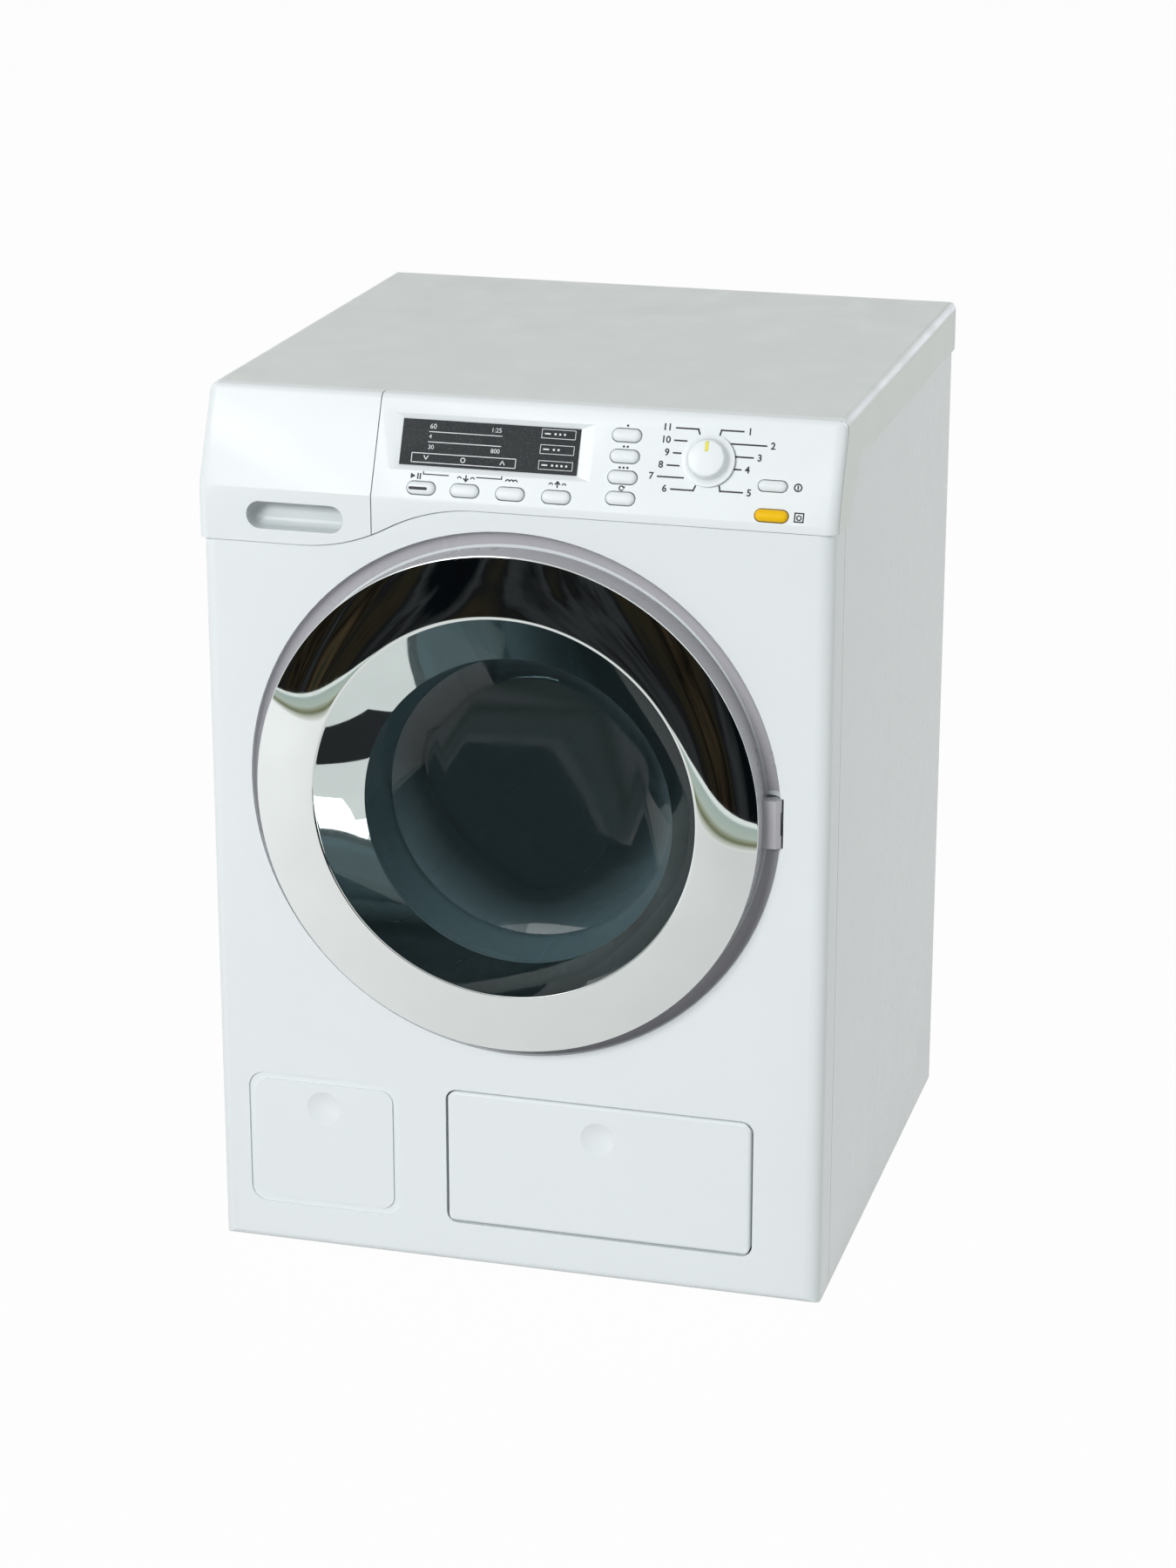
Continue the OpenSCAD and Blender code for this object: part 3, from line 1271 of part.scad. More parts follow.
module battery_cover() in_frame() color(grey_white) {
    m = cover_margin;
    difference() {
        along_y(inner_back + touch, housing_d) rrect(-bay_half_w - m, bay_z - m, bay_half_w + m, bay_z + bay_h + m, 1.5);
        for (i = [-1, 0, 1]) block(-8, 8, housing_d - 0.6, housing_d + 1,
            bay_z + bay_h / 2 + 4 * i - 0.6, bay_z + bay_h / 2 + 4 * i + 0.6);
    }
}

module speaker() in_frame() color(black) {
    y1 = inner_back + touch;
    disc_y(speaker_x, speaker_z, 14, y1 - 2, y1 - eps);
    translate([speaker_x, y1 - 8, speaker_z]) rotate([-90, 0, 0]) cylinder(h = 6.1, r1 = 7, r2 = 13);
    disc_y(speaker_x, speaker_z, 7, y1 - 11, y1 - 7.9);
}

// Bundle of wires from the battery box up the right rear corner to the board
module wire_harness() in_frame() color(black) {
    for (i = [0:len(wire_path) - 2]) {
        a = wire_path[i];
        b = wire_path[i + 1];
        d = b - a;
        l = norm(d);
        translate(a) rotate([0, acos(d[2] / l), atan2(d[1], d[0])]) cylinder(h = l, r = wire_r, $fn = 24);
        if (i > 0) translate(a) sphere(wire_r * 1.15, $fn = 24);
    }
}

// ---------------------------------------------------------------- nodes

front_panel();
rear_housing();
top_cover();
base_plate();
back_cover();
feet();
case_screws();
fascia();
display_window();
control_board();
button_keypad();
board_screws();
dial();
dial_pointer();
dial_shaft();
dial_switch();
start_button();
water_in_button();
wash_button();
water_out_button();
option_button_1();
option_button_2();
option_button_3();
spin_button();
power_button();
door_button();
drawer_front();
drawer_tray();
drawer_guide();
tray_front();
tray_box();
tray_sleeve();
door_frame();
door_ring();
door_glass();
glass_clamp();
clamp_screws();
hinge_pin();
hinge_bracket();
hinge_screws();
door_hook();
catch_clip();
tub();
tub_cradle();
drum();
drum_shaft();
shaft_bush();
drum_gear();
shaft_clip();
motor();
motor_pinion();
motor_bracket();
battery_box();
battery_contacts();
battery_cover();
speaker();
wire_harness();
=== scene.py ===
"""Looks of the toy washing machine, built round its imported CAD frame. Metres."""
import json
import math

import bpy
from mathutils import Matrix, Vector


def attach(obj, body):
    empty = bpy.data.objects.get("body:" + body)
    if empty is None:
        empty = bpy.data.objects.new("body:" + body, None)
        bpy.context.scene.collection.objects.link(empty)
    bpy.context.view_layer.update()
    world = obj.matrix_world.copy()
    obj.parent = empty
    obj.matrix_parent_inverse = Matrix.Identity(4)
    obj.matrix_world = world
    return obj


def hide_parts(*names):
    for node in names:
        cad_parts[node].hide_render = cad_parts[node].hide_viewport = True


MM = 0.001

# ---------------------------------------------------------------- frame

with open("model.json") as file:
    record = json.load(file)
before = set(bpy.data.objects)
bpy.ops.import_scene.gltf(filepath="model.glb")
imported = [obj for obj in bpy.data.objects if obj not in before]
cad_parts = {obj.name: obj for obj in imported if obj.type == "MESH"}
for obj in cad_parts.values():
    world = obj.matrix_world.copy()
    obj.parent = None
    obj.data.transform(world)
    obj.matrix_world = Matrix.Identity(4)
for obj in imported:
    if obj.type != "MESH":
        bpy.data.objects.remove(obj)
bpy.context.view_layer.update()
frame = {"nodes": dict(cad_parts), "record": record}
nodes = frame["nodes"]

# The CAD is drawn with y = 0 on the front panel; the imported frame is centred
SHIFT_Y = -85.3
# The sloping face leans back by this angle from a bend at the front's top; millimetres
TILT = math.radians(24)
BEND_Y = -0.8
BEND_Z = 235.1
# Heights of the door ring's middle and of the glass's middle
DOOR_Z = 148.5
GLASS_Z = 142.9


def place(x, y, z):
    """A point given in millimetres from the front panel and the table."""
    return Vector((x * MM, (y + SHIFT_Y) * MM, z * MM))


def on_slope(x, s, n=0.0):
    """A point on the sloping face: x across, s up the slope, n along its normal."""
    return place(
        x,
        BEND_Y + s * math.sin(TILT) - n * math.cos(TILT),
        BEND_Z + s * math.cos(TILT) + n * math.sin(TILT),
    )


def from_front(azimuth, elevation):
    """Direction out of the object, in degrees to the right of its front and up."""
    az = math.radians(azimuth)
    el = math.radians(elevation)
    return Vector((math.sin(az) * math.cos(el), -math.cos(az) * math.cos(el), math.sin(el)))


def corners_of(across, along):
    """The four corners of a rectangle from its two spans, one after another."""
    return [(across[0], along[0]), (across[1], along[0]), (across[1], along[1]), (across[0], along[1])]


def add_object(name, data):
    obj = bpy.data.objects.new(name, data)
    bpy.context.scene.collection.objects.link(obj)
    return obj


def look_along(obj, direction):
    """Turns a camera or a lamp to look along a direction, its top up."""
    obj.rotation_mode = "QUATERNION"
    obj.rotation_quaternion = direction.to_track_quat("-Z", "Y")


# ---------------------------------------------------------------- camera

# Degrees to the right of the front and up; the place is in millimetres, as in place()
CAM_AZ = 15.44
CAM_EL = 18.77
CAM_AT = (293.4, -980.7, 501.0)
LENS = 87.15
SENSOR = 36.0
NEAREST = 0.05
FARTHEST = 30.0


def make_camera():
    """The photograph's camera, as it was fitted to the object."""
    data = bpy.data.cameras.new("camera")
    data.sensor_fit = "VERTICAL"
    data.sensor_width = SENSOR
    data.sensor_height = SENSOR
    data.lens = LENS
    data.clip_start = NEAREST
    data.clip_end = FARTHEST
    data.dof.use_dof = False
    cam = add_object("camera", data)
    cam.location = place(*CAM_AT)
    look_along(cam, -from_front(CAM_AZ, CAM_EL))
    bpy.context.scene.camera = cam


make_camera()

# ---------------------------------------------------------------- shader nodes

# Nearly all values of a noise lie in this span
NOISE_SPAN = (0.3, 0.7)


def put(tree, socket, value):
    """Sets a socket to a number or a colour, or links another socket to it."""
    if isinstance(value, bpy.types.NodeSocket):
        tree.links.new(value, socket)
    elif isinstance(value, tuple):
        socket.default_value = (*value, 1)
    else:
        socket.default_value = value


def calc(tree, operation, *values):
    """A Math node over numbers and sockets."""
    node = tree.nodes.new("ShaderNodeMath")
    node.operation = operation
    for value, socket in zip(values, node.inputs):
        put(tree, socket, value)
    return node.outputs["Value"]


def mix(tree, kind, fac, a, b):
    """Goes from a to b as fac goes from 0 to 1: numbers (FLOAT) or colours (RGBA)."""
    node = tree.nodes.new("ShaderNodeMix")
    node.data_type = kind
    put(tree, node.inputs["A"], a)
    put(tree, node.inputs["B"], b)
    put(tree, node.inputs["Factor"], fac)
    return node.outputs["Result"]


def map_range(tree, value, source, target=(0.0, 1.0), kind="LINEAR"):
    """Maps a value from the source span to the target span."""
    node = tree.nodes.new("ShaderNodeMapRange")
    node.interpolation_type = kind
    node.inputs["From Min"].default_value = source[0]
    node.inputs["From Max"].default_value = source[1]
    node.inputs["To Min"].default_value = target[0]
    node.inputs["To Max"].default_value = target[1]
    tree.links.new(value, node.inputs["Value"])
    return node.outputs["Result"]


def coordinate(tree, kind, axis):
    """One axis of a kind of texture coordinate: Object, Generated or Normal."""
    coord = tree.nodes.new("ShaderNodeTexCoord")
    split = tree.nodes.new("ShaderNodeSeparateXYZ")
    tree.links.new(coord.outputs[kind], split.inputs["Vector"])
    return split.outputs[axis]


def noise(tree, scale, detail=2.0, stretch=None):
    """Noise over the object's own coordinates; scale is in waves per metre."""
    coord = tree.nodes.new("ShaderNodeTexCoord")
    vector = coord.outputs["Object"]
    if stretch:
        mapping = tree.nodes.new("ShaderNodeMapping")
        mapping.inputs["Scale"].default_value = stretch
        tree.links.new(vector, mapping.inputs["Vector"])
        vector = mapping.outputs["Vector"]
    tex = tree.nodes.new("ShaderNodeTexNoise")
    tex.inputs["Scale"].default_value = scale
    tex.inputs["Detail"].default_value = detail
    tree.links.new(vector, tex.inputs["Vector"])
    return tex.outputs["Fac"]


def spread(tree, fac, low, high):
    """Maps noise to low..high."""
    return map_range(tree, fac, NOISE_SPAN, (low, high))


def drift(tree, fac, color, share):
    """The colour, drifting with noise to a tone darker by that share."""
    darker = tuple(c * (1 - share) for c in color)
    return mix(tree, "RGBA", spread(tree, fac, 0, 1), darker, color)


def bump(tree, heights, shader):
    """Adds bumps one on another; heights is a list of (noise, millimetres)."""
    normal = None
    for fac, depth in heights:
        node = tree.nodes.new("ShaderNodeBump")
        node.inputs["Strength"].default_value = 1.0
        node.inputs["Distance"].default_value = depth * MM
        tree.links.new(fac, node.inputs["Height"])
        if normal is not None:
            tree.links.new(normal, node.inputs["Normal"])
        normal = node.outputs["Normal"]
    tree.links.new(normal, shader.inputs["Normal"])


# ---------------------------------------------------------------- materials

# Waves per metre. Plastic: slow drift of tone, gloss patches, flow waves, skin
DRIFT = 25
PATCHES = 90
FLOW = 30
SKIN = 1800
# Metal: drift of tone, gloss lines and flow waves; brushed lines are finer along z
METAL_DRIFT = 60
METAL_LINES = 400
METAL_FLOW = 35
BRUSHED = (1, 1, 12)
# Glass: gloss patches and flow waves; foil: speckle, gloss patches and skin
GLASS_PATCHES = 120
GLASS_FLOW = 40
FOIL_SPECKLE = 2500
FOIL_PATCHES = 200
FOIL_SKIN = 900


def new_material(name):
    mat = bpy.data.materials.new(name)
    mat.use_nodes = True
    tree = mat.node_tree
    return mat, tree, tree.nodes["Principled BSDF"]


def plastic(name, color, rough, vary=0.02, grain=0.004, wave=0.02, specular=0.5):
    """Moulded plastic: faint tone drift, uneven gloss, fine skin and flow waves."""
    mat, tree, bsdf = new_material(name)
    gloss = spread(tree, noise(tree, PATCHES, 4), rough * 0.85, rough * 1.2)
    tone = drift(tree, noise(tree, DRIFT), color, vary)
    tree.links.new(tone, bsdf.inputs["Base Color"])
    tree.links.new(gloss, bsdf.inputs["Roughness"])
    bsdf.inputs["Specular IOR Level"].default_value = specular
    bump(tree, [(noise(tree, FLOW, 1), wave), (noise(tree, SKIN, 2), grain)], bsdf)
    return mat


def metal(name, color, rough, wave=0.01, brushed=False):
    """Plated or brushed metal: faint tone drift, uneven gloss and flow waves."""
    mat, tree, bsdf = new_material(name)
    bsdf.inputs["Metallic"].default_value = 1.0
    lines = noise(tree, METAL_LINES, 3, stretch=BRUSHED if brushed else None)
    gloss = spread(tree, lines, rough * 0.7, rough * 1.4)
    tone = drift(tree, noise(tree, METAL_DRIFT, 3), color, 0.04)
    tree.links.new(tone, bsdf.inputs["Base Color"])
    tree.links.new(gloss, bsdf.inputs["Roughness"])
    bump(tree, [(noise(tree, METAL_FLOW, 1), wave)], bsdf)
    return mat


def glass(name, color, rough):
    """Smoked bowl: clearer, deeper in tone and less mirroring towards its bottom."""
    mat, tree, bsdf = new_material(name)
    inward = coordinate(tree, "Generated", "Y")
    clear = map_range(tree, inward, (0.6, 0.88), (0.8, 0.945))
    bend = map_range(tree, inward, (0.88, 0.94), (1.5, 1.3))
    depth = map_range(tree, inward, (0.55, 0.85))
    deep = tuple(0.5 * c for c in color)
    tone = mix(tree, "RGBA", depth, color, deep)
    gloss = spread(tree, noise(tree, GLASS_PATCHES, 3), rough * 0.6, rough * 1.6)
    tree.links.new(clear, bsdf.inputs["Transmission Weight"])
    tree.links.new(bend, bsdf.inputs["IOR"])
    tree.links.new(tone, bsdf.inputs["Base Color"])
    tree.links.new(gloss, bsdf.inputs["Roughness"])
    bump(tree, [(noise(tree, GLASS_FLOW, 1), 0.008)], bsdf)
    return mat


def foil(name, color, speck):
    """Dark printed foil with fine pale speckle."""
    mat, tree, bsdf = new_material(name)
    speckle = map_range(tree, noise(tree, FOIL_SPECKLE, 2), (0.55, 0.75))
    tone = mix(tree, "RGBA", speckle, color, speck)
    gloss = spread(tree, noise(tree, FOIL_PATCHES, 3), 0.3, 0.42)
    tree.links.new(tone, bsdf.inputs["Base Color"])
    tree.links.new(gloss, bsdf.inputs["Roughness"])
    bsdf.inputs["Specular IOR Level"].default_value = 0.25
    bump(tree, [(noise(tree, FOIL_SKIN, 2), 0.004)], bsdf)
    return mat


WHITE = (0.81, 0.86, 0.875)
# Painted shade: a darker copy of the lid's colour for its top, where less light falls; then the lid's
# own colour, shown on its sides
LID_TOP_SHADED = (0.745, 0.805, 0.78)
LID_SIDE = (0.82, 0.87, 0.845)
# Painted shade in the drawer's grip pocket
GRIP_PAINTED_SHADE = (0.61, 0.655, 0.665)
# The door frame's own grey, also used as painted shade in the recess round the door
FRAME_GREY_AND_RECESS_SHADE = (0.475, 0.475, 0.505)
YELLOW = (0.87, 0.52, 0.001)
LEMON = (0.84, 0.76, 0.06)
INK_BLACK = (0.02, 0.02, 0.022)
INK_PALE = (0.75, 0.78, 0.8)

mats = {
    "white_shell": plastic("white_gloss_plastic", WHITE, 0.2, vary=0.01, wave=0.008),
    "lid_shell": plastic("lid_plastic", LID_TOP_SHADED, 0.34, vary=0.012, grain=0.006, wave=0.006),
    "inner_plastic": plastic("plain_inner_plastic", (0.76, 0.77, 0.76), 0.45),
    "chrome_trim": metal("chrome_plating", (0.76, 0.8, 0.79), 0.02, wave=0.002),
    "smoked_window": glass("smoke_blue_window", (0.33, 0.51, 0.56), 0.03),
    "display_foil": foil("display_foil", (0.016, 0.02, 0.022), (0.05, 0.06, 0.065)),
    "drum_plastic": plastic("dark_drum_plastic", (0.05, 0.055, 0.065), 0.35),
    "steel": metal("zinc_plated_steel", (0.6, 0.61, 0.62), 0.28, brushed=True),
    "frame_grey": plastic("violet_grey_plastic", FRAME_GREY_AND_RECESS_SHADE, 0.3, wave=0.006),
    "yellow_plastic": plastic("yellow_gloss_plastic", YELLOW, 0.2, wave=0.006, specular=0.3),
    "board_green": plastic("board_lacquer", (0.02, 0.14, 0.06), 0.35),
    "rubber": plastic("grey_silicone", (0.25, 0.26, 0.27), 0.6),
    "brass": metal("plain_brass", (0.75, 0.55, 0.25), 0.2),
    "nylon": plastic("natural_nylon", (0.85, 0.84, 0.78), 0.4),
    "black_plastic": plastic("black_plastic", (0.03, 0.03, 0.035), 0.35),
    "print_black": plastic("black_print", INK_BLACK, 0.4, grain=0.002, wave=0.0),
    "print_pale": plastic("pale_print", INK_PALE, 0.4, grain=0.002, wave=0.0),
}


def color_socket(mat):
    """The socket that takes a material's colour, and the one that feeds it now."""
    socket = mat.node_tree.nodes["Principled BSDF"].inputs["Base Color"]
    return socket, socket.links[0].from_socket


def painted_shade_lid_top(mat, color):
    """Painted shade: the lid's top is a little darker than its sides, for the lesser light from above.
    """
    tree = mat.node_tree
    socket, shaded_top_color = color_socket(mat)
    sideways = calc(tree, "ABSOLUTE", coordinate(tree, "Normal", "X"))
    fac = map_range(tree, sideways, (0.6, 1.0))
    tree.links.new(mix(tree, "RGBA", fac, shaded_top_color, color), socket)


def painted_shade_in_hollows(mat, color, reach):
    """Painted shade: grey deep in the grip pocket, by ambient occlusion; reach is in millimetres."""
    tree = mat.node_tree
    socket, open_color = color_socket(mat)
    sky = tree.nodes.new("ShaderNodeAmbientOcclusion")
    sky.samples = 8
    sky.inputs["Distance"].default_value = reach * MM
    fac = map_range(tree, sky.outputs["AO"], (0.35, 0.95))
    tree.links.new(mix(tree, "RGBA", fac, color, open_color), socket)


def finish_nodes():
    """Gives each CAD node its slot's material, and two of them their own."""
    for row in frame["record"]["subparts"]:
        slots = nodes[row["node"]].data.materials
        slots.clear()
        slots.append(mats[row["material_slot"]])
    drawer_white = plastic("drawer_white_plastic", WHITE, 0.2, vary=0.01, wave=0.008)
    # Painted shade deep in the drawer's grip pocket
    painted_shade_in_hollows(drawer_white, GRIP_PAINTED_SHADE, 12)
    nodes["drawer_front"].data.materials[0] = drawer_white
    lemon = plastic("lemon_yellow_plastic", LEMON, 0.3, wave=0.0)
    nodes["dial_pointer"].data.materials[0] = lemon


# Painted shade: the lid's top darker than its sides
painted_shade_lid_top(mats["lid_shell"], LID_SIDE)
finish_nodes()

# ---------------------------------------------------------------- CAD shading

# Facet corners nearer than this, in metres, are one; edges under this angle are smooth
WELD = 2e-6
SMOOTH_UNDER = 24
# The front panel and the tray's face keep more of their edges
SMOOTH_FINE = 17
FINE_NODES = ("front_panel", "tray_front")
SHARP_ANGLE = math.radians(35)
# Width in millimetres of the rounding on a node's outer edges
BEVELS = {
    "front_panel": 0.5, "rear_housing": 0.35, "top_cover": 0.5, "fascia": 0.35,
    "drawer_front": 0.45, "tray_front": 0.3, "door_frame": 0.3, "door_ring": 0.25,
    "door_glass": 0.3, "base_plate": 0.3, "back_cover": 0.3, "battery_cover": 0.3,
    "drum": 0.3, "tray_box": 0.25, "drawer_tray": 0.25, "dial_pointer": 0.1,
}


def smooth_group(limit):
    """Geometry nodes: weld the CAD facets and smooth all edges under the limit."""
    group = bpy.data.node_groups.new("smooth_facets", "GeometryNodeTree")
    for way in ("INPUT", "OUTPUT"):
        group.interface.new_socket("Geometry", in_out=way, socket_type="NodeSocketGeometry")
    add = group.nodes.new
    link = group.links.new
    start = add("NodeGroupInput")
    end = add("NodeGroupOutput")
    weld = add("GeometryNodeMergeByDistance")
    weld.inputs["Distance"].default_value = WELD
    angle = add("GeometryNodeInputMeshEdgeAngle")
    above = add("FunctionNodeCompare")
    above.data_type = "FLOAT"
    above.operation = "GREATER_THAN"
    above.inputs["B"].default_value = math.radians(limit)
    normals = add("GeometryNodeSetMeshNormal")
    normals.mode = "SHARPNESS"
    normals.inputs["Remove Custom"].default_value = True
    normals.inputs["Face Sharpness"].default_value = False
    link(start.outputs[0], weld.inputs["Geometry"])
    link(weld.outputs["Geometry"], normals.inputs["Mesh"])
    link(angle.outputs["Unsigned Angle"], above.inputs["A"])
    link(above.outputs["Result"], normals.inputs["Edge Sharpness"])
    link(normals.outputs["Mesh"], end.inputs[0])
    return group


def round_edges(obj, width):
    """Rounds the sharp edges of a node's picture; its mesh stays as it is."""
    bevel = obj.modifiers.new("edge", "BEVEL")
    bevel.width = width * MM
    bevel.segments = 3
    bevel.limit_method = "ANGLE"
    bevel.angle_limit = SHARP_ANGLE
    bevel.harden_normals = True
    bevel.miter_outer = "MITER_ARC"


smooth = smooth_group(SMOOTH_UNDER)
smooth_fine = smooth_group(SMOOTH_FINE)
for name, obj in nodes.items():
    modifier = obj.modifiers.new("smooth", "NODES")
    modifier.node_group = smooth_fine if name in FINE_NODES else smooth
    if name in BEVELS:
        round_edges(obj, BEVELS[name])

# ---------------------------------------------------------------- stage

# Metres. The table's edge slants past the front of the object; the mirror-bright
# ring shows it as a curved pale band, with the dim room behind as its dark upper half
EDGE_Y = -0.607
EDGE_SLANT = 0.44
EDGE_SPAN = (-1.5, 1.1)
EDGE_DEEP = 0.103
EDGE_HEIGHT = 0.0004
ROOM_HEIGHTS = (0.0005, 0.33)
FLOOR_SPAN = (-6, 6)
FLOOR_GREY = (0.6, 0.6, 0.6)
# Where the floor's mirror image goes from its left level to its right one; darker on the right is
# painted shade for the object's shadow
FLOOR_TURN = (-0.45, 0.2)
# The far cards stand this far from a point this high over the floor's middle
CARDS_AWAY = 3.0
CARDS_UP = 0.15
LAMP_LIGHT = (4.4, 4.4, 4.4)
FRAME_LIGHT = (0.03, 0.032, 0.035)
WINDOW_LIGHT = (2.7, 2.65, 3.0)
REFLECTOR_LIGHT = (3.0, 3.0, 3.0)

# The dim room's streaks: waves per metre, drawn out upwards, and their tones
STREAK_WAVES = 7
STREAK_STRETCH = (1, 1, 0.16)
ROOM_TONES = (
    (0.0, (0.0, 0.0, 0.0)),
    (0.4, (0.003, 0.004, 0.005)),
    (0.47, (0.03, 0.032, 0.034)),
    (0.5, (0.008, 0.009, 0.01)),
    (0.56, (0.02, 0.017, 0.01)),
    (0.6, (0.006, 0.005, 0.004)),
    (0.67, (0.05, 0.036, 0.02)),
    (0.75, (0.012, 0.02, 0.014)),
    (1.0, (0.06, 0.065, 0.07)),
)
# Tones of the table's edge, from its front to its back
EDGE_TONES = (
    (0.0, (0.9, 0.93, 0.9)),
    (0.16, (0.85, 0.9, 0.88)),
    (0.24, (0.42, 0.5, 0.47)),
    (0.6, (0.5, 0.56, 0.5)),
    (0.72, (0.3, 0.32, 0.22)),
    (0.8, (0.16, 0.17, 0.1)),
    (0.88, (0.5, 0.52, 0.44)),
    (1.0, (0.9, 0.9, 0.88)),
)


def glow(name):
    """A material of light alone, and its light."""
    mat = bpy.data.materials.new(name)
    mat.use_nodes = True
    tree = mat.node_tree
    tree.nodes.clear()
    out = tree.nodes.new("ShaderNodeOutputMaterial")
    light = tree.nodes.new("ShaderNodeEmission")
    tree.links.new(light.outputs["Emission"], out.inputs["Surface"])
    return mat, light


def even_glow(name, color):
    """A light of one colour, which may be stronger than 1."""
    mat, light = glow(name)
    light.inputs["Color"].default_value = (*color, 1)
    return mat


def ramp(tree, value, stops):
    """A colour ramp; stops are pairs of a place from 0 to 1 and a colour."""
    node = tree.nodes.new("ShaderNodeValToRGB")
    elements = node.color_ramp.elements
    while len(elements) < len(stops):
        elements.new(0.5)
    for element, (place_at, color) in zip(elements, stops):
        element.position = place_at
        element.color = (*color, 1)
    tree.links.new(value, node.inputs["Fac"])
    return node.outputs["Color"]


def looked_at(tree, *kinds):
    """One where a ray of any of these kinds looks: Camera, Glossy or Transmission."""
    path = tree.nodes.new("ShaderNodeLightPath")
    level = path.outputs[f"Is {kinds[0]} Ray"]
    for kind in kinds[1:]:
        level = calc(tree, "MAXIMUM", level, path.outputs[f"Is {kind} Ray"])
    return level


def stage_material(name, color, own_light, mirror_left, mirror_right):
    """Pale ground: diffuse for the shadow, part own light for what looks at it.

    In a mirror it is a little brighter on the left than on the right, painted light and shade for the
    object's shadow lying to its right.
    """
    mat, light = glow(name)
    tree = mat.node_tree
    across = coordinate(tree, "Object", "X")
    side = map_range(tree, across, FLOOR_TURN, (mirror_left, mirror_right), "SMOOTHSTEP")
    level = mix(tree, "FLOAT", looked_at(tree, "Glossy"), 1.0, side)
    tree.links.new(level, light.inputs["Strength"])
    diffuse = tree.nodes.new("ShaderNodeBsdfDiffuse")
    diffuse.inputs["Color"].default_value = (*color, 1)
    both = tree.nodes.new("ShaderNodeMixShader")
    seen = looked_at(tree, "Camera", "Glossy", "Transmission")
    tree.links.new(calc(tree, "MULTIPLY", seen, own_light), both.inputs[0])
    tree.links.new(diffuse.outputs["BSDF"], both.inputs[1])
    tree.links.new(light.outputs["Emission"], both.inputs[2])
    tree.links.new(both.outputs["Shader"], tree.nodes["Material Output"].inputs["Surface"])
    return mat


def plane(name, corners, mat):
    """A flat piece of the stage, which isn't part of the object."""
    mesh = bpy.data.meshes.new(name)
    mesh.from_pydata([Vector(c) for c in corners], [], [tuple(range(len(corners)))])
    mesh.materials.append(mat)
    obj = add_object(name, mesh)
    return obj


def mirrored_card(name, corners, mat):
    """A card that only mirrors show."""
    obj = plane(name, corners, mat)
    obj.visible_camera = False
    obj.visible_diffuse = False
    obj.visible_shadow = False
    obj.visible_transmission = False


def floor():
    """White table top that the object stands on."""
    corners = [(x, y, 0) for x, y in corners_of(FLOOR_SPAN, FLOOR_SPAN)]
    mat = stage_material("floor_white", FLOOR_GREY, own_light=0.975, mirror_left=1.1, mirror_right=0.76)
    plane("floor", corners, mat)


def edge_point(x, back, z):
    """On the slanting table edge at x, so far back from it towards the object."""
    return Vector((x, EDGE_Y + EDGE_SLANT * x + back, z))


def upright_card(name, span, heights, mat):
    """A card that stands on the table's edge."""
    corners = [edge_point(x, 0, z) for x, z in corners_of(span, heights)]
    mirrored_card(name, corners, mat)


def room_card():
    """The dim room past the table, in long streaks."""
    mat, light = glow("dim_room")
    tree = mat.node_tree
    streaks = noise(tree, STREAK_WAVES, 6, stretch=STREAK_STRETCH)
    tree.links.new(ramp(tree, streaks, ROOM_TONES), light.inputs["Color"])
    upright_card("room_card", EDGE_SPAN, ROOM_HEIGHTS, mat)


def edge_band():
    """The table's slanting edge, in tones from its front to its back."""
    mat, light = glow("table_edge")
    tree = mat.node_tree
    across = coordinate(tree, "Object", "X")
    line = calc(tree, "MULTIPLY_ADD", across, -EDGE_SLANT, coordinate(tree, "Object", "Y"))
    back = map_range(tree, line, (EDGE_Y, EDGE_Y + EDGE_DEEP))
    tree.links.new(ramp(tree, back, EDGE_TONES), light.inputs["Color"])
    corners = [edge_point(x, y, EDGE_HEIGHT) for x, y in corners_of(EDGE_SPAN, (0, EDGE_DEEP))]
    mirrored_card("edge_band", corners, mat)


def sky_card(name, azimuths, elevations, color):
    """A far card between two azimuths and two elevations, degrees from the front."""
    middle = Vector((0, 0, CARDS_UP))
    corners = [middle + CARDS_AWAY * from_front(*way) for way in corners_of(azimuths, elevations)]
    mirrored_card(name, corners, even_glow(name, color))


floor()
room_card()
edge_band()
sky_card("lamp_card", (-46, -20), (22, 36), LAMP_LIGHT)
sky_card("lamp_frame", (-75, 30), (36, 49), FRAME_LIGHT)
sky_card("window_card", (157, 175), (2, 17), WINDOW_LIGHT)
upright_card("reflector", (-0.47, -0.16), (0.33, 0.46), even_glow("reflector", REFLECTOR_LIGHT))

# ---------------------------------------------------------------- light

# Metres: what both lamps look at, and the ways from there to each of them
LAMPS_AIM = Vector((0, -0.03, 0.14))
KEY_FROM = (-0.275, -0.86, 0.43)
SIDE_FROM = (0.98, 0.1, 0.2)
SIDE_TONE = (0.96, 1.0, 0.95)
WORLD_FILL = 0.32


def area_light(name, direction, distance, width, height, power, color=(1, 1, 1)):
    """A softbox that mirrors don't show."""
    data = bpy.data.lights.new(name, "AREA")
    data.shape = "RECTANGLE"
    data.size = width
    data.size_y = height
    data.energy = power
    data.color = color
    obj = add_object(name, data)
    outward = Vector(direction).normalized()
    obj.location = LAMPS_AIM + outward * distance
    look_along(obj, -outward)
    obj.visible_glossy = False


def make_world(fill):
    """White to what looks at it, and a dimmer even fill as light."""
    world = bpy.data.worlds.new("studio")
    bpy.context.scene.world = world
    world.use_nodes = True
    tree = world.node_tree
    back = tree.nodes["Background"]
    back.inputs["Color"].default_value = (1, 1, 1, 1)
    seen = looked_at(tree, "Camera", "Glossy", "Transmission")
    level = map_range(tree, seen, (0.0, 1.0), (fill, 1.0))
    tree.links.new(level, back.inputs["Strength"])


